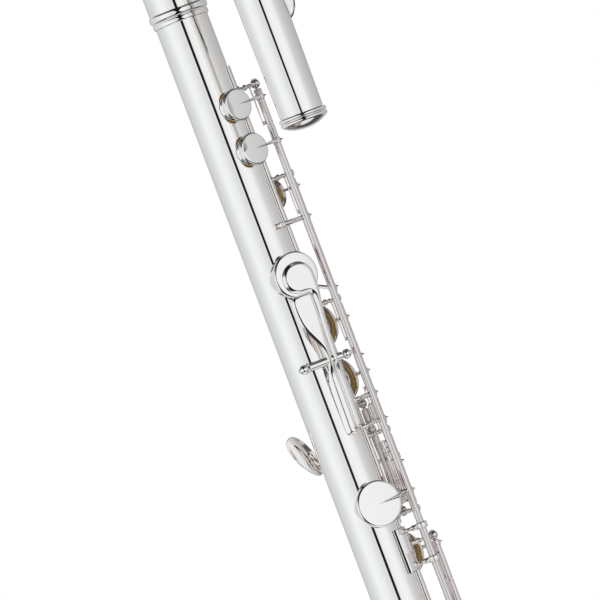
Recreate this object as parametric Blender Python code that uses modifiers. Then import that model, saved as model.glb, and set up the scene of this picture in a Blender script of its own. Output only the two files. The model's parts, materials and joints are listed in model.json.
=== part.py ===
"""An alto flute with a curved head joint, standing on its foot end.

+Z runs up the flute toward the head, and the origin is the centre of the foot's end face.
The front row of tone holes faces nearly +Y, and the hinge lines run along the +X side.
A place round the tube is a turn in degrees, measured from -Y toward +X.
Every key is modelled shut and then turned open about its hinge by its parent empty.
"""
import math

import bmesh
import bpy
from mathutils import Matrix, Vector

MM = 0.001
UP = Vector((0.0, 0.0, 1.0))

# Tube
TUBE_R = 13.15 * MM
TUBE_WALL = 0.45 * MM
GAP = 0.3 * MM
TUBE_SIDES = 24

# Heights of the tone holes above the foot end, each from one below it by their spacing
FOOT_C_Z = 61.4 * MM
FOOT_C_SHARP_Z = FOOT_C_Z + 46.6 * MM
FOOT_E_FLAT_Z = FOOT_C_SHARP_Z + 44.0 * MM
D_Z = FOOT_E_FLAT_Z + 42.0 * MM
E_Z = D_Z + 39.5 * MM
F_Z = E_Z + 37.5 * MM
F_SHARP_Z = F_Z + 36.0 * MM
G_SHARP_Z = F_SHARP_Z + 28.3 * MM
LOWER_G_Z = F_SHARP_Z + 29.6 * MM
UPPER_G_Z = LOWER_G_Z + 32.1 * MM
A_Z = UPPER_G_Z + 27.9 * MM
B_FLAT_Z = A_Z + 27.9 * MM
THUMB_Z = B_FLAT_Z + 27.5 * MM
C_SHARP_Z = THUMB_Z + 40.1 * MM
D_TRILL_Z = C_SHARP_Z + 23.5 * MM
D_SHARP_TRILL_Z = D_TRILL_Z + 22.6 * MM

# Ends of the body's tube
BODY_LOW = FOOT_E_FLAT_Z + 11.0 * MM
BODY_TOP = D_SHARP_TRILL_Z + 53.8 * MM

# Barrel, which receives the head joint, with two beads at its foot and one on top
RECEIVER_WALL = 0.5 * MM
BARREL_LOW = BODY_TOP - 6.5 * MM
BARREL_LENGTH = 57.0 * MM
BARREL_BEAD_RISE = 0.6 * MM
BEAD_HEIGHT = 3.2 * MM
TENON_LOW = BODY_TOP + 1.5 * MM

# Cup sizes: radius, height of the rim above the tube, and number of sides
LARGE_R = 11.5 * MM
MEDIUM_R = 10.5 * MM
SMALL_R = 8.0 * MM
LARGE_RIM_RISE = 2.65 * MM
SMALL_RIM_RISE = 2.05 * MM
LARGE_SIDES = 14
SMALL_SIDES = 12
LARGE = (LARGE_R, TUBE_R + LARGE_RIM_RISE, LARGE_SIDES)
MEDIUM = (MEDIUM_R, TUBE_R + LARGE_RIM_RISE, LARGE_SIDES)
SMALL = (SMALL_R, TUBE_R + SMALL_RIM_RISE, SMALL_SIDES)

# Cups, pads and chimneys
CUP_WALL = 0.6 * MM
CUP_HEIGHT = 4.15 * MM
CUP_EDGE = 0.95 * MM
PAD_DEPTH = 2.4 * MM
PAD_OVERHANG = 1.0 * MM
CHIMNEY_WALL = 0.55 * MM
CHIMNEY_FLARE = 0.4 * MM
STUB_DEPTH = 5.0 * MM
CUTTER_REACH = 7.0 * MM

# Turns of the rows round the tube
FRONT_TURN = 175.0
C_SHARP_TURN = 163.0
OFFSET_G_TURN = 205.0
G_SHARP_TURN = 42.0
THUMB_TURN = 44.0
TRILL_TURN = 58.0
FOOT_E_FLAT_TURN = 85.0
TOUCH_TURN = 180.0

# Hinge lines: x and y of each axis, which runs along Z
LEFT_LINE = Vector((19.0 * MM, 14.5 * MM, 0.0))
G_LINE = Vector((12.1 * MM, 15.0 * MM, 0.0))
TRILL_LINE = Vector((21.65 * MM, 6.2 * MM, 0.0))
RIGHT_LINE = Vector((22.4 * MM, 14.5 * MM, 0.0))
FOOT_LINE = Vector((19.0 * MM, 14.5 * MM, 0.0))

# Hinge tubes, steels and posts
SLEEVE_R = 1.8 * MM
BORE_R = 1.15 * MM
STEEL_R = 0.8 * MM
BALL_R = 2.35 * MM
POST_FOOT_R = 1.9 * MM
POST_NECK_R = 1.0 * MM
POST_BEAD_R = 1.55 * MM
STEEL_OVERHANG = 2.0 * MM

# Ribs, the long plates that carry the posts: thickness, and the turns of their edges
RIB_THICKNESS = 0.8 * MM
SIDE_RIB_TURNS = (90.0, 129.5)
G_RIB_TURNS = (136.5, 150.5)
FOOT_RIB_TURNS = (119.5, 130.0)
SADDLE_TURNS = (60.0, 94.0)
SADDLE_LENGTH = 22.1 * MM
RIB_MARGIN = 3.6 * MM
RIB_SPACING = 2.0 * MM
LEFT_RIB_TOP = D_SHARP_TRILL_Z + 19.5 * MM
SLEEVE_CLEARANCE = 0.45 * MM
SPRING_OFFSET = 3.1 * MM
SPRING_R = 0.35 * MM
CATCH_R = 0.5 * MM
SPRING_PAST_CATCH = 0.8 * MM

# Posts stand beside the tone holes that they serve
C_SHARP_POST_Z = C_SHARP_Z + 6.9 * MM
B_FLAT_POST_Z = B_FLAT_Z + 10.1 * MM
A_TO_LINK_Z = A_Z - 13.2 * MM
LINK_POST_Z = A_TO_LINK_Z - 16.4 * MM
G_SHARP_POST_Z = G_SHARP_Z - 9.1 * MM
G_TOP_POST_Z = UPPER_G_Z + 13.8 * MM
G_LOW_POST_Z = LOWER_G_Z - 9.3 * MM
TRILL_TOP_POST_Z = D_SHARP_TRILL_Z + 6.8 * MM
F_SHARP_POST_Z = F_SHARP_Z + 4.2 * MM
E_POST_Z = E_Z + 13.7 * MM
D_POST_Z = D_Z - 10.0 * MM
TRILL_GUIDE_Z = (F_SHARP_Z + 11.0 * MM, F_SHARP_Z - 6.0 * MM)
FOOT_TOP_POST_Z = FOOT_E_FLAT_Z + 19.0 * MM
FOOT_MID_POST_Z = FOOT_E_FLAT_Z - 6.0 * MM
FOOT_LOW_POST_Z = FOOT_C_Z - 10.6 * MM

# Borders between hinge tubes that share a line
B_FLAT_TO_A_Z = A_Z + 15.8 * MM
F_SHARP_TO_F_Z = F_Z + 17.4 * MM
E_TO_D_Z = D_Z + 20.2 * MM
TRILL_LOW_POST_Z = E_TO_D_Z - 8.2 * MM
D_SHARP_TO_D_TRILL_Z = D_TRILL_Z + 8.6 * MM
D_TRILL_TO_D_SHARP_Z = E_POST_Z - 1.4 * MM
LOW_C_TOUCH_Z = FOOT_C_SHARP_Z + 28.4 * MM
LOW_C_CUP_Z = FOOT_C_SHARP_Z - 10.6 * MM

# How far a needle spring reaches from its post to its catch
C_SHARP_SPRING = 19.0 * MM
B_FLAT_SPRING = 20.0 * MM
A_SPRING = 22.0 * MM
TRILL_SPRING = 19.3 * MM
F_SHARP_SPRING = 20.7 * MM
F_SPRING = 16.8 * MM
E_SPRING = 20.2 * MM
D_SPRING = 16.0 * MM
FOOT_C_SPRING = 22.4 * MM
FOOT_E_FLAT_SPRING = 15.2 * MM

# Stop arms and touches, from the borders of their hinge tubes
C_SHARP_STOP_Z = C_SHARP_Z - 15.3 * MM
C_SHARP_TOUCH_Z = B_FLAT_POST_Z + 5.4 * MM
A_STOP_Z = A_TO_LINK_Z + 2.2 * MM
A_TAIL_Z = B_FLAT_TO_A_Z - 7.4 * MM
STOP_X = TUBE_R + 2.75 * MM
STOP_LOW_Y = -1.0 * MM
STOP_R = 1.2 * MM
STOP_CLEARANCE = 0.5 * MM
D_SHARP_TOUCH_Z = TRILL_LOW_POST_Z + 7.0 * MM
D_TOUCH_Z = D_TRILL_TO_D_SHARP_Z + 7.7 * MM

# The link from the B flat rod over the tail of the thumb lever, in the thumb hole's frame
LINK_Z = LINK_POST_Z + 5.4 * MM
LINK_SIDE = 5.6 * MM
LINK_OUT = TUBE_R + 5.75 * MM

# G sharp lever over the front, and the ends of its spoon
G_SHARP_LEVER_Z = G_SHARP_Z + 17.9 * MM
SPOON_LOW = Vector((-17.2 * MM, 7.9 * MM, G_SHARP_LEVER_Z + 5.7 * MM))
SPOON_HIGH = Vector((-24.6 * MM, -3.2 * MM, G_SHARP_LEVER_Z + 27.4 * MM))
SPOON_TURN = 243.0
SPOON_HALF_WIDTH = 7.0 * MM
SPOON_DEPTH = 1.7 * MM

# How far a cup's centre lifts off its tone hole
OPEN_LIFT = 2.6 * MM
SMALL_LIFT = 2.2 * MM
THUMB_LIFT = 2.2 * MM

# Thumb keys: the cross pin lies along the tube's tangent
THUMB_HINGE_Z = THUMB_Z - 44.0 * MM
THUMB_HINGE_OUT = TUBE_R + 3.85 * MM
THUMB_BALL_SIDE = 11.9 * MM
THUMB_BARREL_R = 1.95 * MM
THUMB_BORDER_SIDE = 4.15 * MM
THUMB_BARREL_HALF = 9.2 * MM
THUMB_TAIL_Z = LINK_Z - 1.9 * MM
STRIP_OUT = TUBE_R + 3.45 * MM
STRAP_OUT = TUBE_R + 5.05 * MM
PLATE_THICKNESS = 1.2 * MM
TOUCH_DISC_R = 8.2 * MM
TOUCH_CLEARANCE = 0.5 * MM

# Head joint
BEND_R = 28.0 * MM
BEND_Z = BODY_TOP + 65.5 * MM
HEAD_TURN = 63.0
HEAD_END_R = 10.8 * MM
HEAD_END_Z = BEND_Z - 134.5 * MM
HEAD_SIDES = 20
EMBOUCHURE_Z = BEND_Z - 58.5 * MM
EMBOUCHURE_TURN = 165.0
EMBOUCHURE_HALF = (5.2 * MM, 6.2 * MM)
RISER_HEIGHT = 5.2 * MM
RISER_WALL = 0.8 * MM
LIP_HALF = (20.0 * MM, 33.0 * MM)
LIP_BEND_R = 15.5 * MM
LIP_THICKNESS = 0.9 * MM
LIP_CLEARANCE = 0.5 * MM
CROWN_BEAD_RISE = 1.1 * MM
CROWN_BEADS_HEIGHT = 4.0 * MM
CROWN_DOME_DEPTH = 3.3 * MM
CORK_Z = EMBOUCHURE_Z - 25.0 * MM
CORK_LENGTH = 14.0 * MM

# Foot joint
FOOT_RECEIVER_LOW = BODY_LOW - 3.0 * MM
FOOT_RECEIVER_TOP = BODY_LOW + 16.0 * MM
FOOT_RING_RISE = 1.85 * MM
ROLLER_R = 1.9 * MM
ROLLER_HALF = 5.5 * MM
ROLLER_PIN_R = 0.5 * MM
FORK_R = 0.8 * MM
FORK_DEPTH = 3.1 * MM
ROLLER_BORE_R = 0.85 * MM
LOW_C_ROLLER_Z = LOW_C_TOUCH_Z + 5.6 * MM
LOW_C_SHARP_ROLLER_Z = LOW_C_TOUCH_Z - 1.0 * MM

SILVER = ((0.86, 0.87, 0.88), 0.12, 1.0)
STEEL = ((0.55, 0.56, 0.58), 0.25, 1.0)
PAD_SKIN = ((0.55, 0.36, 0.12), 0.60, 0.0)
CORK = ((0.66, 0.47, 0.30), 0.85, 0.0)


def clear_scene():
    """Empties the scene."""
    for item in list(bpy.data.objects):
        bpy.data.objects.remove(item, do_unlink=True)


def collection(name):
    """A new collection in the scene."""
    group = bpy.data.collections.new(name)
    bpy.context.scene.collection.children.link(group)
    return group


def material(name, finish):
    """A Principled material with a colour, a roughness and a metallic value."""
    colour, roughness, metallic = finish
    made = bpy.data.materials.new(name + "_finish")
    made.use_nodes = True
    shader = made.node_tree.nodes["Principled BSDF"]
    shader.inputs["Base Color"].default_value = (*colour, 1.0)
    shader.inputs["Roughness"].default_value = roughness
    shader.inputs["Metallic"].default_value = metallic
    made.diffuse_color = (*colour, 1.0)
    return made


clear_scene()
FLUTE = collection("alto_flute")
SHOP = collection("cutters")


def outward(turn):
    """The direction that points out of the tube at a turn."""
    angle = math.radians(turn)
    return Vector((math.sin(angle), -math.cos(angle), 0.0))


def sideways(turn):
    """The tangent of the tube at a turn, toward larger turns."""
    angle = math.radians(turn)
    return Vector((math.cos(angle), math.sin(angle), 0.0))


def seat(turn, z, origin=Vector((0.0, 0.0, 0.0))):
    """The frame of a tone hole: X along the tangent, Y up the flute and Z out of the tube."""
    side = sideways(turn)
    out = outward(turn)
    rows = [(side[k], UP[k], out[k], origin[k] + UP[k] * z) for k in range(3)]
    return Matrix((*rows, (0.0, 0.0, 0.0, 1.0)))


def turn_of(point):
    """The turn at which a point lies round the tube."""
    return math.degrees(math.atan2(point.x, -point.y))


def shop_object(mesh):
    """An unnamed working object in the cutters collection."""
    made = bpy.data.objects.new("work", mesh)
    SHOP.objects.link(made)
    return made


def evaluated_mesh(item):
    """The mesh of an object with its modifiers applied and its caps welded."""
    mesh = bpy.data.meshes.new_from_object(item.evaluated_get(bpy.context.evaluated_depsgraph_get()))
    mesh.transform(item.matrix_world)
    return tidy_mesh(mesh)


def tidy_mesh(mesh):
    """Welds doubled points and turns all faces outward."""
    shape = bmesh.new()
    shape.from_mesh(mesh)
    bmesh.ops.remove_doubles(shape, verts=shape.verts, dist=0.002 * MM)
    bmesh.ops.dissolve_degenerate(shape, edges=shape.edges, dist=0.001 * MM)
    bmesh.ops.recalc_face_normals(shape, faces=shape.faces)
    shape.to_mesh(mesh)
    shape.free()
    return mesh


def baked(item):
    """Replaces an object by a plain one that holds its evaluated mesh."""
    bpy.context.view_layer.update()
    mesh = evaluated_mesh(item)
    bpy.data.objects.remove(item, do_unlink=True)
    return shop_object(mesh)


def placed(item, matrix):
    """Moves a working object's mesh by a matrix."""
    item.data.transform(matrix)
    return item


def turned(profile, sides, closed=False):
    """A turned solid: a profile of (radius, height) points, carried round Z by a Screw modifier."""
    count = len(profile)
    edges = [(k, k + 1) for k in range(count - 1)]
    if closed:
        edges.append((count - 1, 0))
    mesh = bpy.data.meshes.new("profile")
    mesh.from_pydata([(radius, 0.0, height) for radius, height in profile], edges, [])
    item = shop_object(mesh)
    screw = item.modifiers.new("screw", "SCREW")
    screw.angle = math.tau
    screw.steps = sides
    screw.render_steps = sides
    screw.use_merge_vertices = True
    screw.merge_threshold = 0.002 * MM
    return baked(item)


def cylinder(radius, start, end, sides=12):
    """A round bar between two points."""
    start = Vector(start)
    axis = Vector(end) - start
    mesh = bpy.data.meshes.new("bar")
    shape = bmesh.new()
    bmesh.ops.create_cone(shape, cap_ends=True, segments=sides, radius1=radius, radius2=radius,
                          depth=axis.length)
    shape.to_mesh(mesh)
    shape.free()
    turn = UP.rotation_difference(axis).to_matrix().to_4x4()
    return placed(shop_object(mesh), Matrix.Translation(start + axis / 2.0) @ turn)


def wire(points, radii, resolution=1):
    """A round bar along points, as thick as the radius at each point."""
    curve = bpy.data.curves.new("wire", "CURVE")
    curve.dimensions = "3D"
    curve.bevel_depth = 1.0 * MM
    curve.bevel_resolution = resolution
    curve.use_fill_caps = True
    spline = curve.splines.new("POLY")
    spline.points.add(len(points) - 1)
    for point, place, radius in zip(spline.points, points, radii):
        point.co = (*place, 1.0)
        point.radius = radius / (1.0 * MM)
    return baked(shop_object(curve))


def plate(outline, thickness):
    """A flat plate in the XY plane, centred on it, from a closed outline of points."""
    curve = bpy.data.curves.new("plate", "CURVE")
    curve.dimensions = "2D"
    curve.fill_mode = "BOTH"
    curve.extrude = thickness / 2.0
    spline = curve.splines.new("POLY")
    spline.points.add(len(outline) - 1)
    for point, (x, y) in zip(spline.points, outline):
        point.co = (x, y, 0.0, 1.0)
    spline.use_cyclic_u = True
    return baked(shop_object(curve))


def dish(half_x, half_y, depth, thickness, sides=14):
    """An oval touch, dished by depth: rings of points, with a wall given by Solidify."""
    rings = (0.55, 0.85, 1.0)
    points = [(0.0, 0.0, 0.0)]
    for share in rings:
        for k in range(sides):
            angle = math.tau * k / sides
            height = depth * share ** 2
            points.append((half_x * share * math.cos(angle), half_y * share * math.sin(angle), height))
    faces = [(0, 1 + k, 1 + (k + 1) % sides) for k in range(sides)]
    for ring in range(len(rings) - 1):
        low = 1 + ring * sides
        high = low + sides
        for k in range(sides):
            after = (k + 1) % sides
            faces.append((low + k, high + k, high + after, low + after))
    mesh = bpy.data.meshes.new("dish")
    mesh.from_pydata(points, [], faces)
    item = shop_object(mesh)
    wall = item.modifiers.new("wall", "SOLIDIFY")
    wall.thickness = thickness
    wall.offset = 0.0
    return baked(item)


def combined(base, others, operation):
    """Joins other solids to a base, or cuts them out of it."""
    for other in others:
        step = base.modifiers.new(operation.lower(), "BOOLEAN")
        step.operation = operation
        step.solver = "EXACT"
        step.object = other
    result = baked(base)
    for other in others:
        bpy.data.objects.remove(other, do_unlink=True)
    return result


def fused(pieces):
    """One solid of overlapping pieces."""
    return combined(pieces[0], pieces[1:], "UNION")


def cut(base, cutters):
    """A solid with its cutters taken out."""
    return combined(base, cutters, "DIFFERENCE")


def node(name, item, finish, parent=None):
    """Names a finished solid as a sub-part. With a parent, its origin is the parent's."""
    mesh = item.data
    bpy.data.objects.remove(item, do_unlink=True)
    mesh.name = name
    mesh.materials.clear()
    mesh.materials.append(material(name, finish))
    mesh.shade_smooth()
    mesh.set_sharp_from_angle(angle=math.radians(35.0))
    made = bpy.data.objects.new(name, mesh)
    if parent is not None:
        mesh.transform(Matrix.Translation(-parent.location))
        made.parent = parent
    FLUTE.objects.link(made)
    return made


def hinge(name, point, axis=UP, rest_angle=0.0):
    """An empty on a hinge's axis, turned from the shut place to the rest place."""
    made = bpy.data.objects.new(name, None)
    made.empty_display_size = 5.0 * MM
    made.location = point
    made.rotation_mode = "AXIS_ANGLE"
    made.rotation_axis_angle = (rest_angle, *axis)
    FLUTE.objects.link(made)
    return made


def open_angle(line, turn, lift):
    """The angle that lifts a cup on a row by a given height, for a hinge line beside it."""
    return math.atan2(lift, abs(line.dot(sideways(turn))))


# Cups, pads, arms and hinge tubes

def pad_radius(size):
    """A pad fills its cup, with a gap all round."""
    return size[0] - CUP_WALL - GAP


def rim_radius(size):
    """Outer radius of a tone hole's rim: the pad hangs over it."""
    return pad_radius(size) - PAD_OVERHANG


def rim_seat(turn, z, size):
    """The frame of a tone hole with its origin in the plane of the rim."""
    return seat(turn, z, outward(turn) * size[1])


def cup(turn, z, size):
    """A domed cup, open toward the tone hole."""
    radius = size[0]
    ceiling = GAP + PAD_DEPTH + GAP
    inner = radius - CUP_WALL
    profile = [(0.0, CUP_HEIGHT), (radius - 0.9 * MM, CUP_HEIGHT - 0.6 * MM), (radius, CUP_HEIGHT - 1.8 * MM),
               (radius, CUP_EDGE), (inner, CUP_EDGE), (inner, ceiling), (0.0, ceiling)]
    return placed(turned(profile, size[2]), rim_seat(turn, z, size))


def pad(turn, z, size):
    """A felt pad in its skin, seated in the cup."""
    radius = pad_radius(size)
    profile = [(0.0, GAP + PAD_DEPTH), (radius, GAP + PAD_DEPTH), (radius, GAP + 0.5 * MM),
               (radius - 0.5 * MM, GAP), (0.0, GAP)]
    return placed(turned(profile, size[2]), rim_seat(turn, z, size))


def arm(line, turn, z, size, bends):
    """A pointed arm from the middle of a cup to its hinge line.

    bends are (side, out) places between the cup's edge and the hinge, in the tone hole's frame.
    """
    radius, rim, _ = size
    top = rim + CUP_HEIGHT + 0.05 * MM
    side = line.dot(sideways(turn))
    way = math.copysign(1.0, side)
    places = [(-way * 0.6 * MM, top), (way * 0.5 * radius, top), (way * (radius + 0.5 * MM), top)]
    places += [(way * x * MM, y * MM) for x, y in bends]
    places.append((side, line.dot(outward(turn))))
    radii = [0.35 * MM, 0.6 * MM, 0.85 * MM] + [1.0 * MM] * len(bends) + [1.1 * MM]
    frame = seat(turn, z)
    return wire([frame @ Vector((x, 0.0, y)) for x, y in places], radii)


def sleeve(line, low, high, radius=SLEEVE_R):
    """A hinge tube before its bore is cut."""
    return cylinder(radius, line + UP * low, line + UP * high, 8)


def bore(line, low, high):
    """The cutter for a hinge tube's bore."""
    return cylinder(BORE_R, line + UP * (low - 1.0 * MM), line + UP * (high + 1.0 * MM), 6)


def tail(line, z):
    """The pointed end of an arm's collar, on the far side of the hinge tube."""
    away = Vector((0.94, 0.34, 0.0))
    start = line + UP * z
    return wire([start, start + away * 3.1 * MM], [1.1 * MM, 0.25 * MM])


def spring_side(line):
    """The direction from a hinge line toward the tube, where its springs lie."""
    return -line.normalized()


def spring_catch(line, z):
    """The little hook that a needle spring presses on."""
    start = line + UP * z
    return cylinder(CATCH_R, start, start + spring_side(line) * (SPRING_OFFSET - SPRING_R - GAP), 6)


def needle(line, post_z, reach):
    """A needle spring, pressed into a post's shaft, that reaches a little past a key's catch."""
    side = line + spring_side(line) * SPRING_OFFSET
    tip_z = post_z + reach + math.copysign(SPRING_PAST_CATCH, reach)
    return wire([side + UP * post_z, side + UP * tip_z], [SPRING_R, 0.2 * MM], 0)


def at_shut(points, line, angle):
    """Turns points given in the rest place into the shut place about a hinge line."""
    turn = Matrix.Rotation(angle, 4, "Z")
    return [line + turn @ (Vector(point) - line) for point in points]


def below(post_z):
    """The upper end of a hinge tube that hangs under a post."""
    return post_z - BALL_R - SLEEVE_CLEARANCE


def above(post_z):
    """The lower end of a hinge tube that stands on a post."""
    return post_z + BALL_R + SLEEVE_CLEARANCE


def under(border_z):
    """The upper end of the lower of two hinge tubes that meet."""
    return border_z - GAP / 2.0


def over(border_z):
    """The lower end of the upper of two hinge tubes that meet."""
    return border_z + GAP / 2.0


# Posts, ribs, steels and springs

def rib(turns, z_low, z_high):
    """A plate bent round the tube between two turns."""
    first, last = turns
    inner = TUBE_R + GAP
    outer = inner + RIB_THICKNESS
    count = max(2, round((last - first) / 7.0))
    steps = [first + (last - first) * k / count for k in range(count + 1)]
    outline = [outward(turn) * outer for turn in steps] + [outward(turn) * inner for turn in reversed(steps)]
    made = plate([(point.x, point.y) for point in outline], z_high - z_low)
    return placed(made, Matrix.Translation(UP * (z_low + z_high) / 2.0))


def post(line, z, base):
    """A turned post: flange, neck, bead, neck and ball, standing straight out of the tube."""
    flat = Vector((line.x, line.y, 0.0))
    length = flat.length - base
    slope = BALL_R * math.sqrt(0.5)
    profile = [(0.0, length + BALL_R), (slope, length + slope), (BALL_R, length),
               (slope, length - slope), (POST_NECK_R, 0.62 * length), (POST_BEAD_R, 0.45 * length),
               (POST_NECK_R, 0.28 * length), (POST_FOOT_R, 0.0), (0.0, 0.0)]
    return placed(turned(profile, 8), seat(turn_of(flat), z, flat.normalized() * base))


def eye_bore(line, z):
    """The cutter for the hole in a post's ball."""
    reach = BALL_R + 1.0 * MM
    return cylinder(BORE_R, line + UP * (z - reach), line + UP * (z + reach), 6)


def guide_post(line, z, base):
    """A post whose eye goes round a turning hinge tube."""
    flat = Vector((line.x, line.y, 0.0))
    away = flat.normalized()
    start = away * base + UP * z
    eye = cylinder(SLEEVE_R + 1.2 * MM, line + UP * (z - 1.6 * MM), line + UP * (z + 1.6 * MM), 14)
    shaft = wire([start, start + away * 0.6 * MM, away * (flat.length + base) / 2.0 + UP * z,
                  away * (flat.length - SLEEVE_R) + UP * z],
                 [POST_FOOT_R, POST_FOOT_R, POST_NECK_R, POST_BEAD_R])
    return fused([eye, shaft])


def guide_bore(line, z):
    """The cutter for a guide post's eye."""
    reach = 3.0 * MM
    return cylinder(SLEEVE_R + GAP + 0.1 * MM, line + UP * (z - reach), line + UP * (z + reach), 14)


def post_base():
    """The distance from the tube's axis at which a post's foot sinks into its rib."""
    return TUBE_R + GAP + RIB_THICKNESS / 2.0


def steel(line, low_post, high_post):
    """A fixed hinge rod between two posts' outer sides."""
    return cylinder(STEEL_R, line + UP * (low_post - STEEL_OVERHANG),
                    line + UP * (high_post + STEEL_OVERHANG), 8)


def on_rib(name, ribs, posts, needles=(), guides=(), parent=None):
    """One soldered unit: ribs, posts with bored balls, and the needle springs pressed into them."""
    parts = list(ribs)
    parts += [post(line, z, post_base()) for line, z in posts]
    parts += [guide_post(line, z, post_base()) for line, z in guides]
    parts += [needle(*spring) for spring in needles]
    cutters = [eye_bore(line, z) for line, z in posts] + [guide_bore(line, z) for line, z in guides]
    node(name, cut(fused(parts), cutters), SILVER, parent)


# Tubes

BODY_HOLES = [
    (TRILL_TURN, D_SHARP_TRILL_Z, SMALL), (TRILL_TURN, D_TRILL_Z, SMALL), (C_SHARP_TURN, C_SHARP_Z, SMALL),
    (THUMB_TURN, THUMB_Z, LARGE), (FRONT_TURN, B_FLAT_Z, LARGE), (FRONT_TURN, A_Z, LARGE),
    (OFFSET_G_TURN, UPPER_G_Z, LARGE), (OFFSET_G_TURN, LOWER_G_Z, LARGE),
    (G_SHARP_TURN, G_SHARP_Z, LARGE), (FRONT_TURN, F_SHARP_Z, LARGE), (FRONT_TURN, F_Z, LARGE),
    (FRONT_TURN, E_Z, LARGE), (FRONT_TURN, D_Z, LARGE)]
FOOT_HOLES = [
    (FOOT_E_FLAT_TURN, FOOT_E_FLAT_Z, MEDIUM), (FRONT_TURN, FOOT_C_SHARP_Z, LARGE),
    (FRONT_TURN, FOOT_C_Z, LARGE)]


def chimney(turn, z, size):
    """The solid stub of a drawn tone hole, with its rolled rim."""
    radius = rim_radius(size)
    rim = size[1]
    root = TUBE_R - STUB_DEPTH
    profile = [(0.0, rim), (radius, rim), (radius - CHIMNEY_FLARE, rim - 0.9 * MM),
               (radius - CHIMNEY_FLARE, root), (0.0, root)]
    return placed(turned(profile, size[2]), seat(turn, z))


def hole_cutter(turn, z, size):
    """The cutter for a tone hole."""
    radius = rim_radius(size) - CHIMNEY_FLARE - CHIMNEY_WALL
    high = TUBE_R + CUTTER_REACH
    low = TUBE_R - CUTTER_REACH
    profile = [(0.0, high), (radius, high), (radius, low), (0.0, low)]
    return placed(turned(profile, size[2]), seat(turn, z))


def drilled(tube, holes, low, high):
    """A solid tube with its chimneys added, its bore cut and its tone holes opened."""
    stubs = fused([chimney(*hole) for hole in holes])
    cutters = fused([hole_cutter(*hole) for hole in holes])
    inner = TUBE_R - TUBE_WALL
    hollow = cylinder(inner, UP * (low - 1.0 * MM), UP * (high + 1.0 * MM), TUBE_SIDES)
    return cut(cut(fused([tube, stubs]), [hollow]), [cutters])


def body_tube():
    """The main tube with 13 tone holes."""
    tube = cylinder(TUBE_R, UP * BODY_LOW, UP * BODY_TOP, TUBE_SIDES)
    node("body_tube", drilled(tube, BODY_HOLES, BODY_LOW, BODY_TOP), SILVER)


def barrel():
    """The head receiver: a thin sleeve with two beads at its foot and a bead on top."""
    inner = TUBE_R + GAP
    outer = inner + RECEIVER_WALL
    bead = outer + BARREL_BEAD_RISE
    top = BARREL_LOW + BARREL_LENGTH
    middle = BARREL_LOW + BEAD_HEIGHT
    end = middle + BEAD_HEIGHT
    profile = [(inner, top), (bead, top), (bead, top - 2.0 * MM), (outer, top - 2.6 * MM), (outer, end),
               (bead, end - 0.8 * MM), (bead, middle + 0.9 * MM), (outer, middle + 0.2 * MM),
               (bead - 0.3 * MM, middle - 0.7 * MM), (bead - 0.3 * MM, BARREL_LOW + 0.8 * MM),
               (outer - 0.2 * MM, BARREL_LOW), (inner, BARREL_LOW)]
    node("barrel", turned(profile, TUBE_SIDES, closed=True), SILVER)


def foot_tube(foot):
    """The foot joint's tube: end ring, three tone holes, and the receiver for the body."""
    inner = TUBE_R + GAP
    outer = inner + RECEIVER_WALL
    profile = [(0.0, FOOT_RECEIVER_TOP), (outer + 0.7 * MM, FOOT_RECEIVER_TOP),
               (outer + 0.7 * MM, FOOT_RECEIVER_TOP - 2.4 * MM), (outer, FOOT_RECEIVER_TOP - 3.0 * MM),
               (outer, FOOT_RECEIVER_LOW), (TUBE_R, FOOT_RECEIVER_LOW - 0.9 * MM), (TUBE_R, 4.4 * MM),
               (TUBE_R + FOOT_RING_RISE, 3.6 * MM), (TUBE_R + FOOT_RING_RISE, 0.0), (0.0, 0.0)]
    tube = turned(profile, TUBE_SIDES)
    socket = cylinder(inner, UP * (BODY_LOW - GAP), UP * (FOOT_RECEIVER_TOP + 1.0 * MM), TUBE_SIDES)
    made = cut(drilled(tube, FOOT_HOLES, 0.0, FOOT_RECEIVER_TOP), [socket])
    node("foot_tube", made, SILVER, foot)


# Keys of the left hand

def key(name, line, parts, pads, rest_angle, bores=(), parent=None):
    """One rigid key: its parts fused, its bores cut, its pads set, all on one hinge empty."""
    made = fused(parts)
    if bores:
        made = cut(made, [bore(line, low, high) for low, high in bores])
    pivot = hinge(name + "_hinge", Vector((line.x, line.y, 0.0)), UP, rest_angle)
    if parent is not None:
        pivot.parent = parent
    node(name, made, SILVER, pivot)
    for label, place in pads:
        node(name.replace("_key", label + "_pad"), pad(*place), PAD_SKIN, pivot)
    return pivot


def inside_trill_line(line):
    """The way of an arm from its hinge line to the tube's back, between the rib and the trill line."""
    return [line, Vector((STOP_X + 1.0 * MM, line.y - 6.5 * MM, 0.0)), Vector((STOP_X, STOP_LOW_Y, 0.0))]


def stop_arm(line, z, turn, angle):
    """An arm that passes inside the trill line and rests its end on the tube's back."""
    rest = outward(turn) * (TUBE_R + STOP_R + STOP_CLEARANCE)
    points = [Vector((p.x, p.y, z)) for p in (*inside_trill_line(line), rest)]
    return wire(at_shut(points, line, angle), [0.8 * MM] + [STOP_R] * 3)


# Bends of the arms between a cup's edge and its hinge, in millimetres: (side, out) in the hole's frame
C_SHARP_BENDS = [(10.4, 19.7)]
FRONT_BENDS = [(13.4, 19.2), (16.0, 17.6)]
RIGHT_BENDS = [(14.4, 19.2), (18.8, 17.8)]
TRILL_BENDS = [(11.6, 18.3), (15.4, 16.6)]
OFFSET_G_BENDS = [(13.6, 18.4), (16.6, 14.0)]
G_SHARP_BENDS = [(13.4, 14.0), (15.2, 8.0), (18.3, 2.9)]
FOOT_E_FLAT_BENDS = [(14.0, 19.3)]


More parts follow.
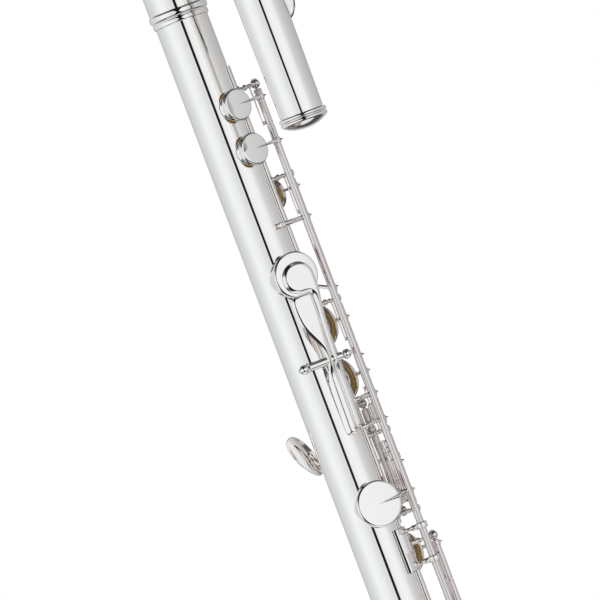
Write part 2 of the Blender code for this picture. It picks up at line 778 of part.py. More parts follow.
def trill_touch(z, plate_z, line=TRILL_LINE):
    """A trill key's touch on the front, reached inside the right-hand line."""
    places = [line + UP * z, Vector((21.5 * MM, 9.8 * MM, z)), Vector((17.6 * MM, 12.6 * MM, z)),
              Vector((14.6 * MM, 17.6 * MM, z)), Vector((11.0 * MM, 20.6 * MM, (z + plate_z) / 2.0)),
              Vector((7.5 * MM, 21.0 * MM, plate_z))]
    touch = dish(6.5 * MM, 4.4 * MM, 0.7 * MM, PLATE_THICKNESS)
    touch = placed(touch, seat(TOUCH_TURN, plate_z, Vector((5.5 * MM, 21.2 * MM, 0.0))))
    return [wire(places, [1.1 * MM, 1.0 * MM, 1.0 * MM, 1.0 * MM, 0.9 * MM, 0.8 * MM]), touch]


def trill_keys():
    """The D sharp trill's rod turns inside the D trill key's tube, and carries a tube at each end."""
    hole = (TRILL_TURN, D_SHARP_TRILL_Z, SMALL)
    low = over(D_SHARP_TO_D_TRILL_Z)
    high = below(TRILL_TOP_POST_Z)
    parts = [sleeve(TRILL_LINE, low, high), cup(*hole), arm(TRILL_LINE, *hole, TRILL_BENDS),
             tail(TRILL_LINE, D_SHARP_TRILL_Z), spring_catch(TRILL_LINE, TRILL_TOP_POST_Z - TRILL_SPRING)]
    pivot = key("d_sharp_trill_key", TRILL_LINE, parts, [("", hole)], 0.0, [(low, high)])
    low = above(TRILL_LOW_POST_Z)
    high = under(D_TRILL_TO_D_SHARP_Z)
    parts = [sleeve(TRILL_LINE, low, high), *trill_touch(D_SHARP_TOUCH_Z, D_SHARP_TOUCH_Z + 0.6 * MM)]
    node("d_sharp_trill_touch", cut(fused(parts), [bore(TRILL_LINE, low, high)]), SILVER, pivot)
    rod = cylinder(STEEL_R, TRILL_LINE + UP * (TRILL_LOW_POST_Z - STEEL_OVERHANG),
                   TRILL_LINE + UP * (TRILL_TOP_POST_Z + STEEL_OVERHANG), 8)
    node("d_sharp_trill_rod", rod, STEEL, pivot)

    low = over(D_TRILL_TO_D_SHARP_Z)
    high = under(D_SHARP_TO_D_TRILL_Z)
    hole = (TRILL_TURN, D_TRILL_Z, SMALL)
    parts = [sleeve(TRILL_LINE, low, high), cup(*hole), arm(TRILL_LINE, *hole, TRILL_BENDS),
             tail(TRILL_LINE, D_TRILL_Z), *trill_touch(D_TOUCH_Z, D_TOUCH_Z - 1.5 * MM)]
    key("d_trill_key", TRILL_LINE, parts, [("", hole)], 0.0, [(low, high)])


def c_sharp_key():
    """The small C sharp key, with the lower touch that the first finger reaches."""
    low = above(B_FLAT_POST_Z)
    high = below(C_SHARP_POST_Z)
    angle = open_angle(LEFT_LINE, C_SHARP_TURN, SMALL_LIFT)
    foot = C_SHARP_TOUCH_Z
    places = [LEFT_LINE + UP * foot, Vector((15.0 * MM, 19.2 * MM, foot + 0.6 * MM)),
              Vector((7.0 * MM, 21.2 * MM, foot + 3.6 * MM)), Vector((2.0 * MM, 21.2 * MM, foot + 5.0 * MM))]
    touch = dish(5.2 * MM, 8.0 * MM, 0.8 * MM, PLATE_THICKNESS)
    touch = placed(touch, seat(TOUCH_TURN, foot + 8.6 * MM, Vector((2.0 * MM, 21.4 * MM, 0.0))))
    hole = (C_SHARP_TURN, C_SHARP_Z, SMALL)
    parts = [sleeve(LEFT_LINE, low, high), cup(*hole), arm(LEFT_LINE, *hole, C_SHARP_BENDS),
             tail(LEFT_LINE, C_SHARP_Z), tail(LEFT_LINE, C_SHARP_STOP_Z), tail(LEFT_LINE, C_SHARP_TOUCH_Z),
             stop_arm(LEFT_LINE, C_SHARP_STOP_Z, 64.0, angle),
             wire(places, [1.1 * MM, 1.0 * MM, 0.9 * MM, 0.8 * MM]), touch,
             spring_catch(LEFT_LINE, C_SHARP_POST_Z - C_SHARP_SPRING)]
    key("c_sharp_key", LEFT_LINE, parts, [("", hole)], -angle, [(low, high)])


def b_flat_key():
    """The B flat key: its rod runs inside the A key's tube to the link over the thumb lever."""
    angle = open_angle(LEFT_LINE, FRONT_TURN, OPEN_LIFT)
    rod = cylinder(STEEL_R, LEFT_LINE + UP * (LINK_POST_Z - STEEL_OVERHANG),
                   LEFT_LINE + UP * (B_FLAT_POST_Z + STEEL_OVERHANG), 8)
    frame = seat(THUMB_TURN, 0.0)
    link = [*inside_trill_line(LEFT_LINE), frame @ Vector((LINK_SIDE + 5.6 * MM, 0.0, LINK_OUT - 3.4 * MM)),
            frame @ Vector((LINK_SIDE + 3.2 * MM, 0.0, LINK_OUT)), frame @ Vector((LINK_SIDE, 0.0, LINK_OUT))]
    link = [Vector((p.x, p.y, LINK_Z)) for p in link]
    hole = (FRONT_TURN, B_FLAT_Z, LARGE)
    parts = [rod, sleeve(LEFT_LINE, over(B_FLAT_TO_A_Z), below(B_FLAT_POST_Z)),
             sleeve(LEFT_LINE, above(LINK_POST_Z), under(A_TO_LINK_Z)), cup(*hole),
             arm(LEFT_LINE, *hole, FRONT_BENDS), tail(LEFT_LINE, B_FLAT_Z), tail(LEFT_LINE, LINK_Z),
             spring_catch(LEFT_LINE, B_FLAT_POST_Z - B_FLAT_SPRING),
             wire(at_shut(link, LEFT_LINE, angle), [0.8 * MM] + [0.9 * MM] * 4 + [0.8 * MM])]
    key("b_flat_key", LEFT_LINE, parts, [("", hole)], -angle)


def a_key():
    """The A key, with the stop arm that rests on the tube."""
    angle = open_angle(LEFT_LINE, FRONT_TURN, OPEN_LIFT)
    low = over(A_TO_LINK_Z)
    high = under(B_FLAT_TO_A_Z)
    hole = (FRONT_TURN, A_Z, LARGE)
    parts = [sleeve(LEFT_LINE, low, high), cup(*hole), arm(LEFT_LINE, *hole, FRONT_BENDS),
             tail(LEFT_LINE, A_Z), tail(LEFT_LINE, A_STOP_Z), tail(LEFT_LINE, A_TAIL_Z),
             stop_arm(LEFT_LINE, A_STOP_Z, 80.0, angle), spring_catch(LEFT_LINE, LINK_POST_Z + A_SPRING)]
    key("a_key", LEFT_LINE, parts, [("", hole)], -angle, [(low, high)])


def g_key():
    """The G key: two cups, offset toward the left hand, on one tube."""
    angle = open_angle(G_LINE, OFFSET_G_TURN, OPEN_LIFT)
    low = above(G_LOW_POST_Z)
    high = below(G_TOP_POST_Z)
    parts = [sleeve(G_LINE, low, high)]
    upper = (OFFSET_G_TURN, UPPER_G_Z, LARGE)
    lower = (OFFSET_G_TURN, LOWER_G_Z, LARGE)
    for hole in (upper, lower):
        parts += [cup(*hole), arm(G_LINE, *hole, OFFSET_G_BENDS)]
    key("g_key", G_LINE, parts, [("_upper", upper), ("_lower", lower)], -angle, [(low, high)])


def spoon():
    """The little finger's leaf-shaped touch, dished along its length between its two ends."""
    along = (SPOON_HIGH - SPOON_LOW).normalized()
    out = outward(SPOON_TURN)
    out = (out - along * out.dot(along)).normalized()
    across = along.cross(out)
    middle = (SPOON_LOW + SPOON_HIGH) / 2.0
    rows = [(across[k], along[k], out[k], middle[k]) for k in range(3)]
    half = (SPOON_HIGH - SPOON_LOW).length / 2.0
    leaf = dish(SPOON_HALF_WIDTH, half, SPOON_DEPTH, 1.0 * MM, 18)
    return placed(leaf, Matrix((*rows, (0.0, 0.0, 0.0, 1.0))))


def g_sharp_key():
    """The G sharp key: cup at the back, lever over the front and a spoon at the left."""
    low = above(G_SHARP_POST_Z)
    high = below(LINK_POST_Z)
    lever = [(19.0, 14.5, 0.0), (16.6, 18.4, 0.0), (11.5, 20.0, 0.0), (4.0, 19.8, 0.0), (-4.0, 18.7, 0.2),
             (-11.5, 14.9, 1.8), (-15.6, 10.8, 3.6)]
    lever = [Vector(place) * MM + UP * G_SHARP_LEVER_Z for place in lever]
    lever += [SPOON_LOW, SPOON_LOW.lerp(SPOON_HIGH, 0.12)]
    hole = (G_SHARP_TURN, G_SHARP_Z, LARGE)
    parts = [sleeve(LEFT_LINE, low, high), cup(*hole), arm(LEFT_LINE, *hole, G_SHARP_BENDS),
             tail(LEFT_LINE, G_SHARP_LEVER_Z - 3.0 * MM),
             wire(lever, [1.1 * MM] * 5 + [1.0 * MM] * 3 + [0.8 * MM]), spoon()]
    key("g_sharp_key", LEFT_LINE, parts, [("", hole)], 0.0, [(low, high)])


# Thumb keys

def thumb_place(side, z, out):
    """A place in the thumb hole's frame: tangent, height and distance from the tube's axis."""
    return seat(THUMB_TURN, z) @ Vector((side, 0.0, out))


def thumb_plate(outline, out_low, out_high):
    """A flat lever plate that rises away from the tube above the cross pin.

    The outline holds places in millimetres: (side, height above the pin).
    """
    reach = max(height for _, height in outline) * MM
    slope = math.atan2(out_high - out_low, reach)
    middle_out = (out_low + out_high) / 2.0
    stretch = 1.0 / math.cos(slope)
    flat = [(side * MM, (height * MM - reach / 2.0) * stretch) for side, height in outline]
    frame = seat(THUMB_TURN, THUMB_HINGE_Z + reach / 2.0, outward(THUMB_TURN) * middle_out)
    return placed(plate(flat, PLATE_THICKNESS), frame @ Matrix.Rotation(slope, 4, "X"))


def thumb_barrel(side_low, side_high):
    """A stretch of the barrel on the cross pin."""
    return cylinder(THUMB_BARREL_R, thumb_place(side_low, THUMB_HINGE_Z, THUMB_HINGE_OUT),
                    thumb_place(side_high, THUMB_HINGE_Z, THUMB_HINGE_OUT), 14)


def thumb_strip(side_low, side_high):
    """The strip that runs down from the barrel beside the tube."""
    middle = (side_low + side_high) / 2.0
    half = (side_high - side_low) / 2.0
    outline = [(middle - half, THUMB_HINGE_Z), (middle - half, THUMB_TAIL_Z + half * 0.6),
               (middle - half * 0.6, THUMB_TAIL_Z), (middle + half * 0.6, THUMB_TAIL_Z),
               (middle + half, THUMB_TAIL_Z + half * 0.6), (middle + half, THUMB_HINGE_Z)]
    outline = [(side, z - THUMB_HINGE_Z) for side, z in outline]
    frame = seat(THUMB_TURN, THUMB_HINGE_Z, outward(THUMB_TURN) * STRIP_OUT)
    return placed(plate(outline, PLATE_THICKNESS), frame)


# Outlines of the two plates in millimetres: (side, height above the pin)
TEARDROP = [(4.2, 34.6), (4.3, 26.0), (4.1, 16.0), (3.1, 6.0), (3.0, 0.0), (-1.6, 0.0), (-2.2, 5.0),
            (-4.2, 11.0), (-6.4, 18.0), (-7.6, 25.0), (-7.6, 32.0), (-6.6, 34.2), (-5.0, 35.0), (3.0, 35.0)]
COMMA_STRAP = [(8.2, 43.0), (8.5, 35.0), (8.3, 24.0), (7.8, 12.0), (7.4, 0.0), (4.2, 0.0), (4.4, 8.0),
               (5.0, 16.0), (5.2, 26.0), (5.0, 34.0), (2.6, 39.0), (3.0, 43.0)]


def thumb_keys():
    """The thumb B key and the B flat lever, which share a cross pin."""
    angle = math.atan2(THUMB_LIFT, THUMB_Z - THUMB_HINGE_Z)
    axis = sideways(THUMB_TURN)
    pin_place = thumb_place(0.0, THUMB_HINGE_Z, THUMB_HINGE_OUT)
    hole = (thumb_place(-16.0 * MM, THUMB_HINGE_Z, THUMB_HINGE_OUT),
            thumb_place(16.0 * MM, THUMB_HINGE_Z, THUMB_HINGE_OUT))

    pivot = hinge("thumb_b_key_hinge", pin_place, axis, angle)
    hole_place = (THUMB_TURN, THUMB_Z, LARGE)
    cup_top = LARGE[1] + CUP_HEIGHT
    parts = [thumb_barrel(-THUMB_BARREL_HALF, under(THUMB_BORDER_SIDE)), cup(*hole_place),
             thumb_plate(TEARDROP, STRAP_OUT, cup_top - 0.2 * MM),
             thumb_strip(-1.2 * MM, under(THUMB_BORDER_SIDE))]
    made = cut(fused(parts), [cylinder(BORE_R, *hole, 8)])
    node("thumb_b_key", made, SILVER, pivot)
    node("thumb_b_pad", pad(*hole_place), PAD_SKIN, pivot)

    pivot = hinge("thumb_b_flat_lever_hinge", pin_place, axis, angle)
    top = cup_top + TOUCH_CLEARANCE + PLATE_THICKNESS / 2.0
    touch = [(TOUCH_DISC_R * math.cos(math.tau * k / 20), TOUCH_DISC_R * math.sin(math.tau * k / 20))
             for k in range(20)]
    disc = placed(plate(touch, PLATE_THICKNESS), seat(THUMB_TURN, THUMB_Z, outward(THUMB_TURN) * top))
    parts = [thumb_barrel(over(THUMB_BORDER_SIDE), THUMB_BARREL_HALF), disc,
             thumb_plate(COMMA_STRAP, STRAP_OUT, top),
             thumb_strip(over(THUMB_BORDER_SIDE), 7.5 * MM)]
    made = cut(fused(parts), [cylinder(BORE_R, *hole, 8)])
    node("thumb_b_flat_lever", made, SILVER, pivot)


def thumb_posts():
    """Two posts and the cross pin of the thumb keys."""
    hole = (thumb_place(-16.0 * MM, THUMB_HINGE_Z, THUMB_HINGE_OUT),
            thumb_place(16.0 * MM, THUMB_HINGE_Z, THUMB_HINGE_OUT))
    for name, way in (("thumb_left_post", -1.0), ("thumb_right_post", 1.0)):
        ball = thumb_place(way * THUMB_BALL_SIDE, THUMB_HINGE_Z, THUMB_HINGE_OUT)
        made = post(ball, THUMB_HINGE_Z, TUBE_R + GAP)
        node(name, cut(made, [cylinder(BORE_R, *hole, 8)]), SILVER)
    reach = THUMB_BALL_SIDE + STEEL_OVERHANG
    node("thumb_steel", cylinder(STEEL_R, thumb_place(-reach, THUMB_HINGE_Z, THUMB_HINGE_OUT),
                                 thumb_place(reach, THUMB_HINGE_Z, THUMB_HINGE_OUT), 8), STEEL)


# Keys of the right hand

def front_key(name, line, z, low, high, bends, extra=(), parent=None):
    """An open-standing key of the front row."""
    angle = open_angle(line, FRONT_TURN, OPEN_LIFT)
    hole = (FRONT_TURN, z, LARGE)
    parts = [sleeve(line, low, high), cup(*hole), arm(line, *hole, bends), tail(line, z), *extra]
    key(name, line, parts, [("", hole)], -angle, [(low, high)], parent)


def right_hand_keys():
    """F sharp, F, E and D keys."""
    front_key("f_sharp_key", RIGHT_LINE, F_SHARP_Z, over(F_SHARP_TO_F_Z), below(F_SHARP_POST_Z),
              RIGHT_BENDS, [spring_catch(RIGHT_LINE, F_SHARP_POST_Z - F_SHARP_SPRING)])
    front_key("f_key", RIGHT_LINE, F_Z, above(E_POST_Z), under(F_SHARP_TO_F_Z),
              RIGHT_BENDS, [spring_catch(RIGHT_LINE, E_POST_Z + F_SPRING)])
    front_key("e_key", RIGHT_LINE, E_Z, over(E_TO_D_Z), below(E_POST_Z),
              RIGHT_BENDS, [spring_catch(RIGHT_LINE, E_POST_Z - E_SPRING)])
    front_key("d_key", RIGHT_LINE, D_Z, above(D_POST_Z), under(E_TO_D_Z),
              RIGHT_BENDS, [spring_catch(RIGHT_LINE, D_POST_Z + D_SPRING)])


# Foot joint

def roller_fork(arm_points, pin_place):
    """An arm that ends in a fork with the pin of a roller."""
    side = sideways(TOUCH_TURN)
    ear_side = side * (ROLLER_HALF + GAP + FORK_R)
    pin_side = ear_side + side * (FORK_R + 0.2 * MM)
    back = Vector((0.0, -FORK_DEPTH, 0.0))
    nose = Vector((0.0, 0.9 * MM, 0.0))
    fork = [pin_place + ear_side + nose, pin_place + ear_side + back, pin_place - ear_side + back,
            pin_place - ear_side + nose]
    pin = cylinder(ROLLER_PIN_R, pin_place - pin_side, pin_place + pin_side, 8)
    reach = wire([*arm_points, pin_place + back], [1.1 * MM] * len(arm_points) + [0.9 * MM])
    return [pin, wire(fork, [FORK_R] * 4), reach]


def roller(name, pin_place, parent):
    """A barrel-shaped roller with its bore, on its own spin axis."""
    profile = [(ROLLER_BORE_R, ROLLER_HALF), (ROLLER_R - 0.4 * MM, ROLLER_HALF),
               (ROLLER_R, ROLLER_HALF * 0.5),
               (ROLLER_R, -ROLLER_HALF * 0.5), (ROLLER_R - 0.4 * MM, -ROLLER_HALF),
               (ROLLER_BORE_R, -ROLLER_HALF)]
    lying = Matrix.Rotation(math.radians(90.0), 4, "Y")
    made = placed(turned(profile, 10, closed=True), Matrix.Translation(pin_place) @ lying)
    node(name, made, SILVER, parent)


def foot_keys(foot):
    """E flat, low C sharp and low C keys with the two rollers."""
    low = above(FOOT_MID_POST_Z)
    high = below(FOOT_TOP_POST_Z)
    z = FOOT_E_FLAT_Z + 8.0 * MM
    lever = [FOOT_LINE + UP * z, Vector((15.6 * MM, 18.4 * MM, z)),
             Vector((9.0 * MM, 20.6 * MM, z - 1.0 * MM)), Vector((2.0 * MM, 21.0 * MM, z - 2.0 * MM))]
    touch = dish(9.0 * MM, 5.6 * MM, 0.9 * MM, PLATE_THICKNESS)
    touch = placed(touch, seat(TOUCH_TURN, z - 2.6 * MM, Vector((-3.0 * MM, 21.3 * MM, 0.0))))
    hole = (FOOT_E_FLAT_TURN, FOOT_E_FLAT_Z, MEDIUM)
    parts = [sleeve(FOOT_LINE, low, high), cup(*hole), arm(FOOT_LINE, *hole, FOOT_E_FLAT_BENDS),
             wire(lever, [1.1 * MM, 1.0 * MM, 1.0 * MM, 0.9 * MM]), touch]
    key("foot_e_flat_key", FOOT_LINE, parts, [("", hole)], 0.0, [(low, high)], foot)

    angle = open_angle(FOOT_LINE, FRONT_TURN, OPEN_LIFT)
    spin_c = Vector((4.0 * MM, 22.6 * MM, LOW_C_ROLLER_Z))
    spin_c_sharp = Vector((4.0 * MM, 22.6 * MM, LOW_C_SHARP_ROLLER_Z))

    low = over(LOW_C_CUP_Z)
    high = under(LOW_C_TOUCH_Z)
    z = LOW_C_TOUCH_Z - 4.4 * MM
    reach = [FOOT_LINE + UP * z, Vector((15.4 * MM, 18.0 * MM, z + 0.4 * MM)),
             Vector((9.0 * MM, 19.6 * MM, z + 2.0 * MM))]
    fork = roller_fork(reach, spin_c_sharp)
    front_key("foot_c_sharp_key", FOOT_LINE, FOOT_C_SHARP_Z, low, high, FRONT_BENDS, fork, foot)

    rod = cylinder(STEEL_R, FOOT_LINE + UP * (FOOT_LOW_POST_Z - STEEL_OVERHANG),
                   FOOT_LINE + UP * (FOOT_MID_POST_Z + STEEL_OVERHANG), 8)
    z = LOW_C_TOUCH_Z + 3.8 * MM
    reach = [FOOT_LINE + UP * z, Vector((15.4 * MM, 18.0 * MM, z + 0.4 * MM)),
             Vector((9.0 * MM, 19.6 * MM, z + 1.4 * MM))]
    hole = (FRONT_TURN, FOOT_C_Z, LARGE)
    parts = [rod, sleeve(FOOT_LINE, over(LOW_C_TOUCH_Z), below(FOOT_MID_POST_Z)),
             sleeve(FOOT_LINE, above(FOOT_LOW_POST_Z), under(LOW_C_CUP_Z)), cup(*hole),
             arm(FOOT_LINE, *hole, FRONT_BENDS), tail(FOOT_LINE, FOOT_C_Z), *roller_fork(reach, spin_c)]
    key("foot_c_key", FOOT_LINE, parts, [("", hole)], -angle, (), foot)

    for name, place in (("foot_c_roller", spin_c), ("foot_c_sharp_roller", spin_c_sharp)):
        pivot = hinge(name + "_pivot", Vector((FOOT_LINE.x, FOOT_LINE.y, 0.0)), UP, -angle)
        pivot.parent = foot
        roller(name, place, pivot)


def foot_hardware(foot):
    """Rib, posts, steel and needle springs of the foot joint."""
    line = FOOT_LINE
    plate_piece = rib(FOOT_RIB_TURNS, FOOT_LOW_POST_Z - RIB_MARGIN, FOOT_MID_POST_Z + 2.4 * MM)
    on_rib("foot_posts", [plate_piece], [(line, FOOT_MID_POST_Z), (line, FOOT_LOW_POST_Z)],
           [(line, FOOT_LOW_POST_Z, FOOT_C_SPRING)], (), foot)
    receiver = TUBE_R + GAP + RECEIVER_WALL
    parts = [post(line, FOOT_TOP_POST_Z, receiver + GAP), needle(line, FOOT_TOP_POST_Z, -FOOT_E_FLAT_SPRING)]
    node("foot_top_post", cut(fused(parts), [eye_bore(line, FOOT_TOP_POST_Z)]), SILVER, foot)
    rod = cylinder(STEEL_R, line + UP * (FOOT_MID_POST_Z + STEEL_OVERHANG + GAP),
                   line + UP * (FOOT_TOP_POST_Z + STEEL_OVERHANG), 8)
    node("foot_steel", rod, STEEL, foot)


# Hardware of the body

def body_hardware():
    """Ribs with their posts and springs, and the steels of the body."""
    left = LEFT_LINE
    plate_piece = rib(SIDE_RIB_TURNS, G_SHARP_POST_Z - RIB_MARGIN, LEFT_RIB_TOP)
    posts = [(TRILL_LINE, TRILL_TOP_POST_Z), (left, C_SHARP_POST_Z), (left, B_FLAT_POST_Z),
             (left, LINK_POST_Z), (left, G_SHARP_POST_Z)]
    needles = [(TRILL_LINE, TRILL_TOP_POST_Z, -TRILL_SPRING), (left, C_SHARP_POST_Z, -C_SHARP_SPRING),
               (left, B_FLAT_POST_Z, -B_FLAT_SPRING), (left, LINK_POST_Z, A_SPRING)]
    on_rib("left_hand_posts", [plate_piece], posts, needles)

    plate_piece = rib(G_RIB_TURNS, G_LOW_POST_Z - RIB_MARGIN, G_TOP_POST_Z + RIB_MARGIN)
    on_rib("g_posts", [plate_piece], [(G_LINE, G_TOP_POST_Z), (G_LINE, G_LOW_POST_Z)])

    right = RIGHT_LINE
    top = G_SHARP_POST_Z - RIB_MARGIN - RIB_SPACING
    plates = [rib(SIDE_RIB_TURNS, D_POST_Z - RIB_MARGIN, top), rib(SADDLE_TURNS, top - SADDLE_LENGTH, top)]
    posts = [(right, F_SHARP_POST_Z), (right, E_POST_Z), (right, D_POST_Z), (TRILL_LINE, TRILL_LOW_POST_Z)]
    needles = [(right, F_SHARP_POST_Z, -F_SHARP_SPRING), (right, E_POST_Z, F_SPRING),
               (right, E_POST_Z, -E_SPRING), (right, D_POST_Z, D_SPRING)]
    guides = [(TRILL_LINE, z) for z in TRILL_GUIDE_Z]
    on_rib("right_hand_posts", plates, posts, needles, guides)

    rod = cylinder(STEEL_R, left + UP * (B_FLAT_POST_Z + STEEL_OVERHANG + GAP),
                   left + UP * (C_SHARP_POST_Z + STEEL_OVERHANG), 8)
    node("c_sharp_steel", rod, STEEL)
    rod = cylinder(STEEL_R, left + UP * (G_SHARP_POST_Z - STEEL_OVERHANG),
                   left + UP * (LINK_POST_Z - STEEL_OVERHANG - GAP), 8)
    node("g_sharp_steel", rod, STEEL)
    node("g_steel", steel(G_LINE, G_LOW_POST_Z, G_TOP_POST_Z), STEEL)
    node("right_hand_steel", steel(RIGHT_LINE, D_POST_Z, F_SHARP_POST_Z), STEEL)


# Head joint

def head_axis():
    """The foot of the return leg's axis."""
    return outward(HEAD_TURN) * 2.0 * BEND_R


def head_path():
    """Points and radii along the head, from the tenon round the bend to the crown end."""
    away = outward(HEAD_TURN)
    points = [UP * TENON_LOW, UP * BEND_Z]
    bend_steps = 9
    for k in range(1, bend_steps):
        angle = math.pi * k / bend_steps
        points.append(UP * (BEND_Z + BEND_R * math.sin(angle)) + away * BEND_R * (1.0 - math.cos(angle)))
    points += [head_axis() + UP * BEND_Z, head_axis() + UP * HEAD_END_Z]
    return points


def head_radius(share):
    """The head's outer radius tapers from the tenon to the crown end."""
    return TUBE_R + (HEAD_END_R - TUBE_R) * share


def head_tube(head):
    """The tenon, the U-bend and the tapered return leg, as one tube with the embouchure's hole."""
    points = head_path()
    lengths = [0.0]
    for before, after in zip(points, points[1:]):
        lengths.append(lengths[-1] + (after - before).length)
    bend_start = lengths[1]
    radii = [head_radius(max(0.0, s - bend_start) / (lengths[-1] - bend_start)) for s in lengths]
    outer = swept(points, radii, HEAD_SIDES)
    longer = [points[0] - UP * 1.0 * MM, *points[1:-1], points[-1] - UP * 1.0 * MM]
    inner = swept(longer, [radius - TUBE_WALL for radius in radii], HEAD_SIDES)
    hole_frame = seat(EMBOUCHURE_TURN, EMBOUCHURE_Z, head_axis())
    hole = placed(oval_ring(0.0, EMBOUCHURE_HALF, 8.0 * MM, 14.0 * MM), hole_frame)
    node("head_tube", cut(cut(outer, [inner]), [hole]), SILVER, head)


def swept(points, radii, sides):
    """A solid round bar along a smooth path, with rings square to it."""
    rings = []
    side = sideways(HEAD_TURN)
    for k, point in enumerate(points):
        before = points[max(k - 1, 0)]
        after = points[min(k + 1, len(points) - 1)]
        ahead = (after - before).normalized()
        if k in (0, 1):
            ahead = UP
        if k >= len(points) - 2:
            ahead = -UP
        across = ahead.cross(side)
        turns = [math.tau * j / sides for j in range(sides)]
        rings.append([point + (side * math.cos(turn) + across * math.sin(turn)) * radii[k] for turn in turns])
    vertices = [vertex for ring in rings for vertex in ring]
    faces = []
    for k in range(len(rings) - 1):
        for j in range(sides):
            after = (j + 1) % sides
            faces.append((k * sides + j, k * sides + after, (k + 1) * sides + after, (k + 1) * sides + j))
    faces.append(list(range(sides)))
    faces.append(list(range((len(rings) - 1) * sides, len(rings) * sides)))
    mesh = bpy.data.meshes.new("swept")
    mesh.from_pydata(vertices, [], faces)
    return shop_object(tidy_mesh(mesh))


def oval_ring(hole_share, half, low, high, sides=20):
    """An upright oval bar in a hole's frame, or an oval ring where hole_share is above 0."""
    def outline(grow):
        return [((half[0] + grow) * math.cos(math.tau * k / sides),
                 (half[1] + grow) * math.sin(math.tau * k / sides)) for k in range(sides)]
    made = plate(outline(0.0), high - low)
    placed(made, Matrix.Translation((0.0, 0.0, (low + high) / 2.0)))
    if hole_share > 0.0:
        core = plate(outline(-hole_share), high - low + 4.0 * MM)
        placed(core, Matrix.Translation((0.0, 0.0, (low + high) / 2.0)))
        made = cut(made, [core])
    return made


def embouchure_radius():
    """The head's outer radius at the embouchure."""
    straight = BEND_Z - HEAD_END_Z
    share = (math.pi * BEND_R + BEND_Z - EMBOUCHURE_Z) / (math.pi * BEND_R + straight)
    return head_radius(share)


def lip_place(side, height):
    """A place on the lip plate's underside, in the mouth hole's frame.

    The plate is an arc of LIP_BEND_R across, and its ridge falls toward the head at both ends.
    """
    ridge = embouchure_radius() + LIP_CLEARANCE + RISER_HEIGHT * (1.0 - 0.85 * (height / LIP_HALF[1]) ** 2)
    bend = side / LIP_BEND_R
    return Vector((LIP_BEND_R * math.sin(bend), height, ridge - LIP_BEND_R * (1.0 - math.cos(bend))))


def lip_plate(head):
    """The lip plate: an oval shell bent round the head, with the oval mouth hole."""
    sides = 24
    shares = (0.0, 0.2, 0.5, 0.8, 1.0)
    frame = seat(EMBOUCHURE_TURN, EMBOUCHURE_Z, head_axis())
    points = []
    for share in shares:
        for k in range(sides):
            angle = math.tau * k / sides
            half = [inner + (outer - inner) * share for inner, outer in zip(EMBOUCHURE_HALF, LIP_HALF)]
            points.append(frame @ lip_place(half[0] * math.cos(angle), half[1] * math.sin(angle)))
    faces = []
    for ring in range(len(shares) - 1):
        for k in range(sides):
            after = (k + 1) % sides
            low = ring * sides
            faces.append((low + k, low + sides + k, low + sides + after, low + after))
    mesh = bpy.data.meshes.new("lip")
    mesh.from_pydata(points, [], faces)
    item = shop_object(mesh)
    wall = item.modifiers.new("wall", "SOLIDIFY")
    wall.thickness = LIP_THICKNESS
    wall.offset = 1.0
    node("lip_plate", baked(item), SILVER, head)


def riser(head):
    """The oval chimney between the head's hole and the lip plate's hole."""
    frame = seat(EMBOUCHURE_TURN, EMBOUCHURE_Z, head_axis())
    half = (EMBOUCHURE_HALF[0] + RISER_WALL, EMBOUCHURE_HALF[1] + RISER_WALL)
    high = lip_place(half[0], 0.0).z - GAP - 0.2 * MM
    ring = placed(oval_ring(RISER_WALL, half, 8.0 * MM, high), frame)
    core = cylinder(embouchure_radius() + GAP, head_axis() + UP * (EMBOUCHURE_Z - 12.0 * MM),
                    head_axis() + UP * (EMBOUCHURE_Z + 12.0 * MM), HEAD_SIDES)
    node("riser", cut(ring, [core]), SILVER, head)


